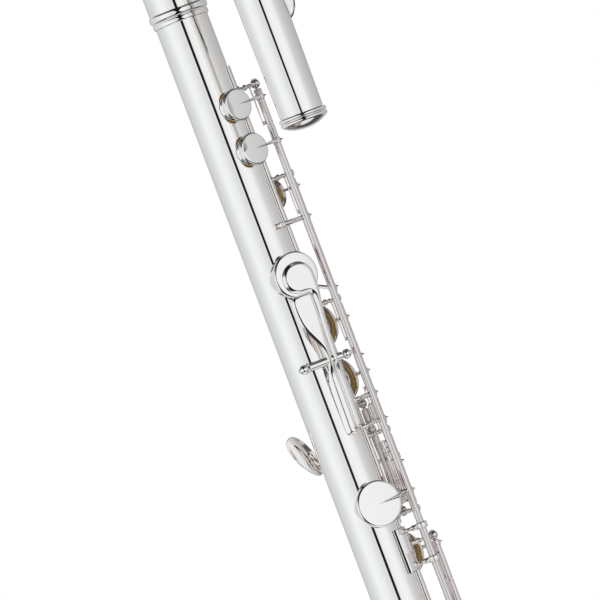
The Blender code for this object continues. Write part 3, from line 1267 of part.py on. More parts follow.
def crown_parts(head):
    """The crown with its beaded ring, the stopper cork and the stopper's threaded rod."""
    axis = head_axis()
    top = HEAD_END_Z - GAP
    inner = HEAD_END_R - TUBE_WALL - GAP
    bead = HEAD_END_R + CROWN_BEAD_RISE
    shoulder = top - CROWN_BEADS_HEIGHT
    end = shoulder - CROWN_DOME_DEPTH
    profile = [(0.0, end), (0.35 * bead, end + 0.05 * CROWN_DOME_DEPTH),
               (0.7 * bead, end + 0.28 * CROWN_DOME_DEPTH), (0.9 * bead, end + 0.62 * CROWN_DOME_DEPTH),
               (bead - 0.5 * MM, shoulder), (bead - 0.1 * MM, shoulder + 0.9 * MM),
               (bead - 0.5 * MM, shoulder + 1.9 * MM), (bead, top - 1.1 * MM), (bead - 0.3 * MM, top),
               (inner, top), (inner, top + 5.0 * MM), (inner - 1.2 * MM, top + 5.0 * MM),
               (inner - 1.2 * MM, top - 2.0 * MM), (0.0, top - 2.0 * MM)]
    made = placed(turned(list(reversed(profile)), HEAD_SIDES), Matrix.Translation(axis))
    boss_hole = cylinder(2.4 * MM, axis + UP * (top - 5.4 * MM), axis + UP * (top + 8.0 * MM), 12)
    pivot = hinge("crown_axis", Vector((axis.x, axis.y, 0.0)))
    pivot.parent = head
    node("crown", cut(made, [boss_hole]), SILVER, pivot)

    bore_out = stopper_bore(CORK_Z)
    cork = [(2.2 * MM, CORK_Z), (bore_out, CORK_Z), (bore_out, CORK_Z - CORK_LENGTH),
            (2.2 * MM, CORK_Z - CORK_LENGTH)]
    node("stopper_cork", placed(turned(cork, HEAD_SIDES, closed=True), Matrix.Translation(axis)), CORK, pivot)
    low = CORK_Z - CORK_LENGTH
    rod = [(0.0, CORK_Z + 2.3 * MM), (bore_out - 0.6 * MM, CORK_Z + 2.3 * MM),
           (bore_out - 0.6 * MM, CORK_Z + GAP), (1.9 * MM, CORK_Z + GAP), (1.9 * MM, low - GAP),
           (bore_out - 0.6 * MM, low - GAP), (bore_out - 0.6 * MM, low - 2.0 * MM),
           (1.9 * MM, low - 2.0 * MM), (1.9 * MM, top - 4.5 * MM), (0.0, top - 4.5 * MM)]
    node("stopper_rod", placed(turned(rod, 16), Matrix.Translation(axis)), STEEL, pivot)


def stopper_bore(z):
    """The radius that clears the head's tapered bore at a height on the return leg."""
    straight = BEND_Z - HEAD_END_Z
    share = (math.pi * BEND_R + BEND_Z - z) / (math.pi * BEND_R + straight)
    facet = math.cos(math.pi / HEAD_SIDES)
    return (head_radius(share) - TUBE_WALL) * facet - GAP - 0.1 * MM


def bend_ferrules(head):
    """Rings where the bend meets the two straight legs."""
    bend_share = math.pi * BEND_R / (math.pi * BEND_R + BEND_Z - HEAD_END_Z)
    z = BEND_Z - 4.0 * MM
    for name, place, share in (("tenon_ferrule", Vector((0.0, 0.0, 0.0)), 0.0),
                               ("return_ferrule", head_axis(), bend_share)):
        inner = head_radius(share) + GAP
        profile = [(inner, z + 2.4 * MM), (inner + 0.7 * MM, z + 2.4 * MM), (inner + 1.3 * MM, z + 1.2 * MM),
                   (inner + 1.3 * MM, z - 1.2 * MM), (inner + 0.7 * MM, z - 2.4 * MM), (inner, z - 2.4 * MM)]
        ring = placed(turned(profile, HEAD_SIDES, closed=True), Matrix.Translation(place))
        node(name, ring, SILVER, head)


def build():
    """Makes every sub-part."""
    body_tube()
    barrel()
    body_hardware()
    thumb_posts()
    trill_keys()
    c_sharp_key()
    b_flat_key()
    a_key()
    g_key()
    g_sharp_key()
    thumb_keys()
    right_hand_keys()
    foot = hinge("foot_joint", Vector((0.0, 0.0, 0.0)))
    foot_tube(foot)
    foot_hardware(foot)
    foot_keys(foot)
    head = hinge("head_joint", Vector((0.0, 0.0, 0.0)))
    head_tube(head)
    bend_ferrules(head)
    lip_plate(head)
    riser(head)
    crown_parts(head)


build()
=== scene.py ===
"""Looks of an alto flute with a curved head joint: fine shapes, finishes, studio and camera.

Shapes are worked out in millimetres on grids of points (rows, columns, 3) in the frame's axes: +Z up the
flute, and turns round its tube in degrees from -Y toward +X. piece() makes them meshes in metres. A key is
made shut and then swung open about its hinge line by its joint's range, as the frame's keys stand.
"""
import json
import math

import bmesh
import bpy
import numpy as np
from mathutils import Matrix, Vector


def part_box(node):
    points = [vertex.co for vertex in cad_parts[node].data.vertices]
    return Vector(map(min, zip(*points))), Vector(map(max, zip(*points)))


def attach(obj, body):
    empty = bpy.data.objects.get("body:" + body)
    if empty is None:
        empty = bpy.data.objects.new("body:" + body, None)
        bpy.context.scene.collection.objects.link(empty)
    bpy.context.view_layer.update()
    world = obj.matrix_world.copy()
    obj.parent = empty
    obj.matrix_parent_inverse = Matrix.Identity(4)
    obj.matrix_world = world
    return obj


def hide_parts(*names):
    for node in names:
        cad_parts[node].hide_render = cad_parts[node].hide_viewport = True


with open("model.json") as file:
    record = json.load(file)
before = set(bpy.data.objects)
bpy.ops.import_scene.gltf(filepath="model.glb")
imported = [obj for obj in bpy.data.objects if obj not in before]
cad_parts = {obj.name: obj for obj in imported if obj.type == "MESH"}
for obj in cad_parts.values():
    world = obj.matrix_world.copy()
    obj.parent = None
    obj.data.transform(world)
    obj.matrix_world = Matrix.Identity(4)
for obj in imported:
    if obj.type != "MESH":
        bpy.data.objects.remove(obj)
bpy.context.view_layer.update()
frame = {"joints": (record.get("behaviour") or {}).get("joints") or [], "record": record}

UP = np.array([0.0, 0.0, 1.0])
AXIS = np.zeros(3)

# The photograph's view: turn round the flute, tilt of the picture, and the place it looks at
VIEW_TURN = 20.0
PICTURE_TILT = 20.672
VIEW_SIDE = 6.0
VIEW_HEIGHT = 440.0
PICTURE_WIDTH = 289.0
VIEW_DISTANCE = 3000.0

# Tube, cups and pads
TUBE_R = 13.15
TUBE_WALL = 0.45
GAP = 0.3
CUP_WALL = 0.6
CUP_HEIGHT = 4.15
CUP_EDGE = 0.95
PAD_DEPTH = 2.4
PAD_OVERHANG = 1.0
CHIMNEY_WALL = 0.55
CHIMNEY_FLARE = 0.4
ROOT_FILLET = 0.9
LARGE = (11.5, TUBE_R + 2.65)
MEDIUM = (10.5, TUBE_R + 2.65)
SMALL = (8.0, TUBE_R + 2.05)

# Turns of the rows round the tube
FRONT_TURN = 175.0
C_SHARP_TURN = 163.0
OFFSET_G_TURN = 205.0
G_SHARP_TURN = 42.0
THUMB_TURN = 44.0
TRILL_TURN = 58.0
FOOT_E_FLAT_TURN = 85.0
TOUCH_TURN = 180.0

# Hinge tubes, steels, posts and ribs
SLEEVE_R = 1.8
STEEL_R = 0.8
BALL_R = 2.35
POST_FOOT_R = 1.9
POST_NECK_R = 0.9
POST_BEAD_R = 1.5
STEEL_OVERHANG = 2.0
SLEEVE_CLEARANCE = 0.45
SPRING_OFFSET = 3.1
RIB_OUT = TUBE_R + GAP + 0.8
RIB_MARGIN = 3.6
SIDE_RIB_TURNS = (90.0, 129.5)
G_RIB_TURNS = (136.5, 150.5)
FOOT_RIB_TURNS = (119.5, 130.0)
SADDLE_LENGTH = 22.1

# Heights on the flute
BODY_LOW = 163.0
BODY_TOP = 592.0
BARREL_LOW = 585.5
FOOT_RECEIVER_LOW = 160.0
FOOT_RECEIVER_TOP = 179.0
LEFT_RIB_TOP = 557.7

# Head joint
BEND_R = 28.0
BEND_Z = 657.5
TENON_LOW = 593.5
HEAD_TURN = 63.0
HEAD_END_R = 10.8
HEAD_END_Z = 523.0
EMBOUCHURE_Z = 599.0
EMBOUCHURE_TURN = 165.0
EMBOUCHURE_HALF = (5.2, 6.2)
RISER_HEIGHT = 5.2
RISER_WALL = 0.8
LIP_HALF = (20.0, 33.0)
LIP_BEND_R = 15.5
LIP_THICKNESS = 0.9
LIP_CLEARANCE = 0.5
CORK_Z = 574.0
CORK_LENGTH = 14.0


# Directions and places

def unit(vectors):
    """Vectors of length one."""
    return vectors / np.linalg.norm(vectors, axis=-1, keepdims=True)


def outward(turn):
    """The direction that points out of the tube at a turn: (sin, -cos, 0)."""
    angle = np.radians(turn)
    return np.stack([np.sin(angle), -np.cos(angle), 0.0 * angle], axis=-1)


def sideways(turn):
    """The tangent of the tube toward larger turns: (cos, sin, 0)."""
    angle = np.radians(turn)
    return np.stack([np.cos(angle), np.sin(angle), 0.0 * angle], axis=-1)


def seat(turn, z, lift=0.0, axis=AXIS):
    """A frame on a tube: origin, tangent, up and outward."""
    return axis + UP * z + outward(turn) * lift, sideways(turn), UP, outward(turn)


def standing(line, z=0.0):
    """A frame whose out axis runs up along an upright line."""
    return line + UP * z, np.array([1.0, 0.0, 0.0]), np.array([0.0, 1.0, 0.0]), UP


def at(place, side, up, out):
    """Points in a frame: origin + side * first + up * second + out * third."""
    side, up, out = np.broadcast_arrays(*(np.asarray(v, float) for v in (side, up, out)))
    return place[0] + side[..., None] * place[1] + up[..., None] * place[2] + out[..., None] * place[3]


def joint(name):
    """A joint of the frame, by name."""
    return next(row for row in frame["joints"] if row["name"] == name)


def hinge(name):
    """A joint's place in millimetres, its axis, and its opening in radians."""
    row = joint(name)
    return np.array(row["pos_m"]) * 1000.0, np.array(row["axis"], float), math.radians(row["range_deg"][1])


def line_of(name):
    """The upright line of a hinge."""
    place = hinge(name)[0]
    return np.array([place[0], place[1], 0.0])


LEFT_LINE = line_of("a_hinge")
G_LINE = line_of("g_hinge")
TRILL_LINE = line_of("d_trill_hinge")
RIGHT_LINE = line_of("f_hinge")
FOOT_LINE = line_of("foot_c_hinge")
THUMB_PIN = hinge("thumb_b_hinge")[0]


def pad_height(name):
    """The height of a pad's middle on the flute."""
    low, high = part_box(name + "_pad")
    return round((low[2] + high[2]) * 500.0, 1)


D_SHARP_TRILL = (TRILL_TURN, pad_height("d_sharp_trill"), SMALL)
D_TRILL = (TRILL_TURN, pad_height("d_trill"), SMALL)
C_SHARP = (C_SHARP_TURN, pad_height("c_sharp"), SMALL)
THUMB_B = (THUMB_TURN, 452.0, LARGE)
B_FLAT = (FRONT_TURN, pad_height("b_flat"), LARGE)
A = (FRONT_TURN, pad_height("a"), LARGE)
UPPER_G = (OFFSET_G_TURN, pad_height("g_upper"), LARGE)
LOWER_G = (OFFSET_G_TURN, pad_height("g_lower"), LARGE)
G_SHARP = (G_SHARP_TURN, pad_height("g_sharp"), LARGE)
F_SHARP = (FRONT_TURN, pad_height("f_sharp"), LARGE)
F = (FRONT_TURN, pad_height("f"), LARGE)
E = (FRONT_TURN, pad_height("e"), LARGE)
D = (FRONT_TURN, pad_height("d"), LARGE)
FOOT_E_FLAT = (FOOT_E_FLAT_TURN, pad_height("foot_e_flat"), MEDIUM)
FOOT_C_SHARP = (FRONT_TURN, pad_height("foot_c_sharp"), LARGE)
FOOT_C = (FRONT_TURN, pad_height("foot_c"), LARGE)

# Posts and the borders between hinge tubes, from the tone holes beside them
TRILL_TOP_POST = D_SHARP_TRILL[1] + 6.8
C_SHARP_POST = C_SHARP[1] + 6.9
B_FLAT_POST = B_FLAT[1] + 10.1
A_TO_LINK = A[1] - 13.2
LINK_POST = A_TO_LINK - 16.4
G_SHARP_POST = G_SHARP[1] - 9.1
G_TOP_POST = UPPER_G[1] + 13.8
G_LOW_POST = LOWER_G[1] - 9.3
F_SHARP_POST = F_SHARP[1] + 4.2
E_POST = E[1] + 13.7
D_POST = D[1] - 10.0
TRILL_GUIDES = (F_SHARP[1] + 11.0, F_SHARP[1] - 6.0)
FOOT_TOP_POST = FOOT_E_FLAT[1] + 19.0
FOOT_MID_POST = FOOT_E_FLAT[1] - 6.0
FOOT_LOW_POST = FOOT_C[1] - 10.6
B_FLAT_TO_A = A[1] + 15.8
F_SHARP_TO_F = F[1] + 17.4
E_TO_D = D[1] + 20.2
TRILL_LOW_POST = E_TO_D - 8.2
D_SHARP_TO_D_TRILL = D_TRILL[1] + 8.6
D_TRILL_TO_D_SHARP = E_POST - 1.4
LOW_C_TOUCH = FOOT_C_SHARP[1] + 28.4
LOW_C_CUP = FOOT_C_SHARP[1] - 10.6
C_SHARP_STOP = C_SHARP[1] - 15.3
C_SHARP_TOUCH = B_FLAT_POST + 5.4
A_STOP = A_TO_LINK + 2.2
A_TAIL = B_FLAT_TO_A - 7.4
D_SHARP_TOUCH = TRILL_LOW_POST + 7.0
D_TOUCH = D_TRILL_TO_D_SHARP + 7.7
LINK_Z = LINK_POST + 5.4
G_SHARP_LEVER = G_SHARP[1] + 17.9
STOP_X = TUBE_R + 2.75
STOP_LOW_Y = -1.0


# Curves and grids

def soft(points, reach, steps=4):
    """A polyline whose inner corners are parabolas that begin and end within reach of the corner."""
    points = np.asarray(points, float)
    share = np.linspace(0.0, 1.0, steps + 1)[:, None]
    runs = [points[:1]]
    for before, corner, after in zip(points, points[1:], points[2:]):
        back = np.linalg.norm(before - corner)
        ahead = np.linalg.norm(after - corner)
        first = corner + (before - corner) * min(reach / back, 0.49)
        last = corner + (after - corner) * min(reach / ahead, 0.49)
        runs.append((1.0 - share) ** 2 * first + 2.0 * share * (1.0 - share) * corner + share ** 2 * last)
    return np.concatenate([*runs, points[-1:]])


def smooth(points, count):
    """Rows on the Catmull-Rom curve through the given rows."""
    points = np.asarray(points, float)
    guarded = np.concatenate([2.0 * points[:1] - points[1:2], points, 2.0 * points[-1:] - points[-2:-1]])
    where = np.linspace(0.0, len(points) - 1.0, count)
    base = np.minimum(where.astype(int), len(points) - 2)
    t = (where - base)[:, None]
    a, b, c, d = (guarded[base + k] for k in range(4))
    return 0.5 * (2.0 * b + (c - a) * t + (2.0 * a - 5.0 * b + 4.0 * c - d) * t ** 2
                  + (3.0 * b - a - 3.0 * c + d) * t ** 3)


def even(path, count):
    """A path with its points at equal steps."""
    length = np.concatenate([[0.0], np.cumsum(np.linalg.norm(np.diff(path, axis=0), axis=1))])
    steps = np.linspace(0.0, length[-1], count)
    return np.stack([np.interp(steps, length, path[:, k]) for k in range(3)], axis=-1)


def spread(values, count):
    """A few values spread evenly along a path of count points."""
    return np.interp(np.linspace(0.0, len(values) - 1.0, count), np.arange(len(values)), values)


def revolved(profile, place, sides=56):
    """A turned surface: (radius, height) points carried round the frame's out axis."""
    radius, height = np.asarray(profile, float).T
    turn = np.linspace(0.0, math.tau, sides + 1)
    radius = np.maximum(radius, 0.0)[:, None]
    return at(place, radius * np.cos(turn), radius * np.sin(turn), height[:, None] + 0.0 * turn)


def carried(path, across, height, section):
    """A closed section along a path: point = path + u * across + v * height, with its ends drawn together."""
    grid = path[:, None] + section[..., :1] * across[:, None] + section[..., 1:] * height[:, None]
    first, last = (np.repeat(ring[None, :-1].mean(axis=1), len(ring), axis=0)[None] for ring in grid[[0, -1]])
    return np.concatenate([first, grid, last])


def bar(path, wide, high=None, facing=(0.0, 0.0, 1.0), power=2.0, sides=20):
    """A bar with rounded ends: |u / wide|^power + |v / high|^power = 1 along a path, v toward facing."""
    path = np.asarray(path, float)
    wide = spread(np.atleast_1d(wide), len(path))
    high = wide if high is None else spread(np.atleast_1d(high), len(path))
    swell = np.radians(np.array([84.0, 62.0, 38.0, 14.0]))
    reach = [min(wide[k], high[k]) for k in (0, -1)]
    first = path[0] + unit(path[0] - path[1]) * (reach[0] * np.sin(swell))[:, None]
    last = path[-1] + unit(path[-1] - path[-2]) * (reach[1] * np.sin(swell[::-1]))[:, None]
    wide = np.concatenate([wide[0] * np.cos(swell), wide, wide[-1] * np.cos(swell[::-1])])
    high = np.concatenate([high[0] * np.cos(swell), high, high[-1] * np.cos(swell[::-1])])
    path = np.concatenate([first, path, last])
    turn = np.linspace(0.0, math.tau, sides + 1)
    u = np.sign(np.cos(turn)) * np.abs(np.cos(turn)) ** (2.0 / power)
    v = np.sign(np.sin(turn)) * np.abs(np.sin(turn)) ** (2.0 / power)
    ahead = unit(np.gradient(path, axis=0))
    across = unit(np.cross(ahead, np.broadcast_to(np.asarray(facing, float), path.shape)))
    section = np.stack([wide[:, None] * u, high[:, None] * v], axis=-1)
    return carried(path, across, np.cross(across, ahead), section)


def gap_to_outline(flat, left, right):
    """The distance of each place to the outline that two edge curves make: the least over its stretches."""
    outline = np.concatenate([left, right[::-1], left[:1]])
    run = np.diff(outline, axis=0)
    kept = np.linalg.norm(run, axis=1) > 1e-6
    start, run = outline[:-1][kept], run[kept]
    away = flat.reshape(-1, 1, 2) - start
    share = np.clip((away * run).sum(axis=-1) / (run * run).sum(axis=-1), 0.0, 1.0)
    return np.linalg.norm(away - share[..., None] * run, axis=-1).min(axis=1).reshape(flat.shape[:-1])


def leaf(place, left, right, face, thickness, bevel, roll, columns=30):
    """A plate between two edge curves, as a face and an underside that meet at the outline.

    Within roll + bevel of the outline the face slopes, from 18 degrees to 30 over the bevel. Over the
    roll it falls on by slope * roll * u + rest * (1 - sqrt(1 - u^2)), where u = 1 - gap / roll.
    """
    share = (1.0 - np.cos(np.linspace(0.0, math.pi, columns))) / 2.0
    flat = left[:, None] + (right - left)[:, None] * share[:, None]
    gap = gap_to_outline(flat, left, right)
    slope, steep = 0.325, 0.577
    t = np.clip((roll + bevel - gap) / bevel, 0.0, 1.0)
    u = np.clip(1.0 - gap / roll, 0.0, 1.0)
    rest = thickness * 0.88 - bevel * (slope + steep) / 2.0 - steep * roll
    fall = bevel * (slope * t + (steep - slope) * t ** 2 / 2.0)
    fall = fall + steep * roll * u + rest * (1.0 - np.sqrt(1.0 - u ** 2))
    low = np.clip(1.0 - gap / 0.35, 0.0, 1.0)
    base = face(flat[..., 0], flat[..., 1])
    under = base - thickness + thickness * 0.12 * (1.0 - np.sqrt(1.0 - low ** 2))
    return [at(place, flat[..., 0], flat[..., 1], height) for height in (base - fall, under)]


def swung(grids, place, axis, angle):
    """Surfaces turned about a hinge by Rodrigues' formula."""
    made = []
    for grid in grids:
        reach = grid - place
        made.append(place + reach * math.cos(angle) + np.cross(axis, reach) * math.sin(angle)
                    + (reach @ axis)[..., None] * axis * (1.0 - math.cos(angle)))
    return made


def opened(grids, name):
    """Surfaces that were made shut, swung to the place where their key stands open."""
    place, axis, angle = hinge(name)
    return swung(grids, place, axis, -angle)


# Finishes

SILVER = (0.965, 0.925, 0.90)
# Painted shade: the darker, warmer colour that the silver takes round the hinge rods
HINGE_SHADE_COLOUR = (0.80, 0.735, 0.72)
STEEL_GREY = (0.62, 0.60, 0.59)
PAD_GOLD = (0.50, 0.31, 0.09)
CORK_BROWN = (0.56, 0.36, 0.20)


def node_of(tree, kind, **values):
    """A shader node with its settings."""
    made = tree.nodes.new(kind)
    for name, value in values.items():
        setattr(made, name, value)
    return made


def compare(tree, value, low, high):
    """A smooth step from 0 at low to 1 at high."""
    step = node_of(tree, "ShaderNodeMapRange", interpolation_type="SMOOTHSTEP")
    step.inputs["From Min"].default_value = low
    step.inputs["From Max"].default_value = high
    tree.links.new(value, step.inputs["Value"])
    return step.outputs["Result"]


def calculated(tree, operation, first, second):
    """A math node on two values, each a socket or a number."""
    node = node_of(tree, "ShaderNodeMath", operation=operation)
    for socket, value in zip(node.inputs, (first, second)):
        if isinstance(value, (int, float)):
            socket.default_value = value
        else:
            tree.links.new(value, socket)
    return node.outputs["Value"]


def finish_material(name, colour, roughness, metallic):
    """A Principled material and its parts: the tree, the shader and the object coordinates."""
    made = bpy.data.materials.new(name)
    made.use_nodes = True
    tree = made.node_tree
    shader = tree.nodes["Principled BSDF"]
    shader.inputs["Base Color"].default_value = (*colour, 1.0)
    shader.inputs["Roughness"].default_value = roughness
    shader.inputs["Metallic"].default_value = metallic
    place = node_of(tree, "ShaderNodeTexCoord")
    return made, tree, shader, place.outputs["Object"]


def varied(tree, place, scale, low, high, stretch=(1.0, 1.0, 1.0), detail=3.0):
    """A noise between two values, stretched along the object's axes."""
    mapping = node_of(tree, "ShaderNodeMapping")
    mapping.inputs["Scale"].default_value = stretch
    noise = node_of(tree, "ShaderNodeTexNoise")
    noise.inputs["Scale"].default_value = scale
    noise.inputs["Detail"].default_value = detail
    level = node_of(tree, "ShaderNodeMapRange")
    level.inputs["From Min"].default_value = 0.3
    level.inputs["From Max"].default_value = 0.7
    level.inputs["To Min"].default_value = low
    level.inputs["To Max"].default_value = high
    tree.links.new(place, mapping.inputs["Vector"])
    tree.links.new(mapping.outputs["Vector"], noise.inputs["Vector"])
    tree.links.new(noise.outputs["Fac"], level.inputs["Value"])
    return level.outputs["Result"], noise.outputs["Fac"]


def bumped(tree, shader, height, strength, distance):
    """Bump on a shader from a height."""
    bump = node_of(tree, "ShaderNodeBump")
    bump.inputs["Strength"].default_value = strength
    bump.inputs["Distance"].default_value = distance
    tree.links.new(height, bump.inputs["Height"])
    tree.links.new(bump.outputs["Normal"], shader.inputs["Normal"])


def coloured(tree, shader, value, dark, light):
    """Base colour between two colours by a value."""
    ramp = node_of(tree, "ShaderNodeValToRGB")
    ramp.color_ramp.elements[0].color = (*dark, 1.0)
    ramp.color_ramp.elements[1].color = (*light, 1.0)
    tree.links.new(value, ramp.inputs["Fac"])
    tree.links.new(ramp.outputs["Color"], shader.inputs["Base Color"])
    return ramp.outputs["Color"]


def polished_silver():
    """Polished silver plate: mirror gloss with a faint haze, and painted shade, a darker, warmer colour, along the
    hinge lines.
    """
    made, tree, shader, place = finish_material("polished_silver", SILVER, 0.06, 1.0)
    haze, noise = varied(tree, place, 60.0, 0.03, 0.065, (1.0, 1.0, 0.3))
    tree.links.new(haze, shader.inputs["Roughness"])
    colour = coloured(tree, shader, noise, (0.955, 0.915, 0.885), (0.972, 0.935, 0.912))
    flat = node_of(tree, "ShaderNodeVectorMath", operation="MULTIPLY")
    flat.inputs[1].default_value = (1.0, 1.0, 0.0)
    tree.links.new(place, flat.inputs[0])
    # Painted shade: within about 3 mm of each hinge line the silver is mixed to a darker, warmer colour, standing in
    # for the shade round the rods
    nearest = 1.0
    for line in (LEFT_LINE, TRILL_LINE, RIGHT_LINE, G_LINE):
        away = node_of(tree, "ShaderNodeVectorMath", operation="DISTANCE")
        away.inputs[1].default_value = tuple(line * 0.001)
        tree.links.new(flat.outputs["Vector"], away.inputs[0])
        nearest = calculated(tree, "MINIMUM", away.outputs["Value"], nearest)
    mix = node_of(tree, "ShaderNodeMix", data_type="RGBA")
    mix.inputs["B"].default_value = (*HINGE_SHADE_COLOUR, 1.0)
    tree.links.new(compare(tree, nearest, 0.0031, 0.0027), mix.inputs["Factor"])
    tree.links.new(colour, mix.inputs["A"])
    tree.links.new(mix.outputs["Result"], shader.inputs["Base Color"])
    return made


def ground_steel():
    """Ground steel of the hinge rods, with its grain round the rod."""
    made, tree, shader, place = finish_material("ground_steel", STEEL_GREY, 0.22, 1.0)
    grain, noise = varied(tree, place, 900.0, 0.14, 0.30, (0.05, 0.05, 1.0))
    tree.links.new(grain, shader.inputs["Roughness"])
    coloured(tree, shader, noise, (0.56, 0.54, 0.53), (0.68, 0.66, 0.65))
    return made


def pad_skin():
    """Mustard-brown skin over felt."""
    made, tree, shader, place = finish_material("pad_skin", PAD_GOLD, 0.45, 0.0)
    tone, noise = varied(tree, place, 500.0, 0.38, 0.55)
    tree.links.new(tone, shader.inputs["Roughness"])
    coloured(tree, shader, noise, (0.40, 0.24, 0.06), (0.62, 0.42, 0.15))
    bumped(tree, shader, noise, 0.25, 0.0001)
    return made


def cork():
    """Fine-grained cork."""
    made, tree, shader, place = finish_material("cork", CORK_BROWN, 0.8, 0.0)
    tone, noise = varied(tree, place, 900.0, 0.7, 0.9, detail=5.0)
    tree.links.new(tone, shader.inputs["Roughness"])
    coloured(tree, shader, noise, (0.36, 0.20, 0.10), (0.68, 0.48, 0.29))
    bumped(tree, shader, noise, 0.4, 0.0002)
    return made


FINISHES = {"silver": polished_silver(), "steel": ground_steel(), "pad_skin": pad_skin(), "cork": cork()}
SLOT_OF = {row["node"]: row["material_slot"] for row in frame["record"]["subparts"]}
BODY_OF = {member: body for body, members in frame["record"]["behaviour"]["bodies"].items() for member in members}


def piece(node, grids, name=None, slot=None, edge=34.0):
    """One mesh of closed surfaces that stands for a node: cells as faces, seams and poles welded."""
    vertices = []
    faces = []
    start = 0
    for grid in grids:
        rows, columns = grid.shape[:2]
        index = start + np.arange(rows * columns).reshape(rows, columns)
        faces.append(np.stack([index[:-1, :-1], index[1:, :-1], index[1:, 1:], index[:-1, 1:]], -1).reshape(-1, 4))
        vertices.append(grid.reshape(-1, 3))
        start += rows * columns
    mesh = bpy.data.meshes.new(name or node + "_fine")
    mesh.from_pydata((np.concatenate(vertices) * 0.001).tolist(), [], np.concatenate(faces).tolist())
    shape = bmesh.new()
    shape.from_mesh(mesh)
    bmesh.ops.remove_doubles(shape, verts=shape.verts, dist=2e-6)
    bmesh.ops.dissolve_degenerate(shape, edges=shape.edges, dist=1e-6)
    bmesh.ops.recalc_face_normals(shape, faces=shape.faces)
    shape.to_mesh(mesh)
    shape.free()
    mesh.shade_smooth()
    mesh.set_sharp_from_angle(angle=math.radians(edge))
    slot = slot or SLOT_OF[node]
    mesh.materials.append(FINISHES[slot])
    made = bpy.data.objects.new(mesh.name, mesh)
    bpy.context.scene.collection.objects.link(made)
    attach(made, BODY_OF[node])
    if name is None:
        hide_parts(node)
    return made


# Tubes with drawn tone holes

def pad_radius(size):
    """A pad fills its cup, with a gap all round."""
    return size[0] - CUP_WALL - GAP


def rim_radius(size):
    """Outer radius of a tone hole's rim: the pad hangs over it."""
    return pad_radius(size) - PAD_OVERHANG


def drawn_hole(place, size, side, up):
    """A tone hole drawn out of the tube, from an outline on its outer wall to the same outline inside.

    Each ring is (r cos a, r sin a) at a height above the axis. On the tube the height is
    sqrt(R^2 - side^2), up the root it gains a quarter round, and over the rim it follows a roll.
    """
    rim = size[1]
    angle = np.arctan2(up, side)
    outer = rim_radius(size) - CHIMNEY_FLARE
    inner = outer - CHIMNEY_WALL
    bore = TUBE_R - TUBE_WALL
    rings = []
    for share in (0.0, 0.3, 0.6, 0.85):
        x = side * (1.0 - share) + (outer + ROOT_FILLET) * np.cos(angle) * share
        y = up * (1.0 - share) + (outer + ROOT_FILLET) * np.sin(angle) * share
        rings.append(at(place, x, y, np.sqrt(TUBE_R ** 2 - x ** 2)))
    for bend in np.radians(np.linspace(0.0, 90.0, 6)):
        r = outer + ROOT_FILLET * (1.0 - math.sin(bend))
        height = np.sqrt(TUBE_R ** 2 - (r * np.cos(angle)) ** 2) + ROOT_FILLET * (1.0 - math.cos(bend))
        rings.append(at(place, r * np.cos(angle), r * np.sin(angle), np.minimum(height, rim - 1.2)))
    roll = (rim_radius(size) - inner) / 2.0
    middle = inner + roll
    turns = np.radians(np.linspace(-55.0, 190.0, 9))
    lip = [(outer, rim - 1.15), *zip(middle + roll * np.cos(turns), rim - roll + roll * np.sin(turns))]
    lip.append((inner, rim - 2.0 * roll))
    rings += [at(place, r * np.cos(angle), r * np.sin(angle), height) for r, height in lip]
    for share in (0.0, 0.4, 1.0):
        narrow = 1.0 - share * TUBE_WALL / TUBE_R
        x = (side * share + inner * np.cos(angle) * (1.0 - share)) * narrow
        y = up * share + inner * np.sin(angle) * (1.0 - share)
        rings.append(at(place, x, y, np.sqrt(bore ** 2 - x ** 2)))
    return np.stack(rings)


def drilled_tube(low, high, holes, columns=144):
    """A tube's two walls on a grid of turns and heights, with windows that the drawn holes fill."""
    turns = np.arange(columns + 1) * 360.0 / columns
    levels = {low, high}
    windows = []
    for turn, z, size in holes:
        reach = rim_radius(size) + ROOT_FILLET
        half_turn = math.degrees(math.asin(reach / TUBE_R)) + 2.0
        first = math.floor((turn - half_turn) / 360.0 * columns)
        last = math.ceil((turn + half_turn) / 360.0 * columns)
        rows = np.round(z + (reach + 0.8) * np.linspace(-1.0, 1.0, 13), 1)
        levels.update(rows.tolist())
        windows.append((turn, z, size, first, last, rows[0], rows[-1]))
    levels = np.array(sorted(levels))
    whole = np.ones((len(levels) - 1, columns), bool)
    grids = []
    for turn, z, size, first, last, bottom, top in windows:
        rows = np.flatnonzero((levels[:-1] > bottom - 0.01) & (levels[1:] < top + 0.01))
        whole[np.ix_(rows, np.arange(first, last) % columns)] = False
        steps = levels[rows[0]:rows[-1] + 2]
        across = np.radians(np.arange(first, last + 1) * 360.0 / columns - turn)
        inner_steps = np.ones(len(steps) - 2)
        ring_turn = np.concatenate([across, across[-1] * inner_steps, across[::-1], across[0] * inner_steps,
                                    across[:1]])
        ring_level = np.concatenate([steps[0] + 0.0 * across, steps[1:-1], steps[-1] + 0.0 * across,
                                     steps[-2:0:-1], steps[:1]])
        grids.append(drawn_hole(seat(turn, z), size, TUBE_R * np.sin(ring_turn), ring_level - z))
    for radius in (TUBE_R, TUBE_R - TUBE_WALL):
        grid = outward(turns) * radius + UP * levels[:, None, None]
        for row, cells in enumerate(whole):
            ends = np.flatnonzero(np.diff(np.concatenate([[False], cells, [False]]).astype(int)))
            grids += [grid[row:row + 2, start:end + 1] for start, end in zip(ends[::2], ends[1::2])]
    grids += [np.stack([outward(turns) * r + UP * z for r in (TUBE_R, TUBE_R - TUBE_WALL)]) for z in (low, high)]
    return grids


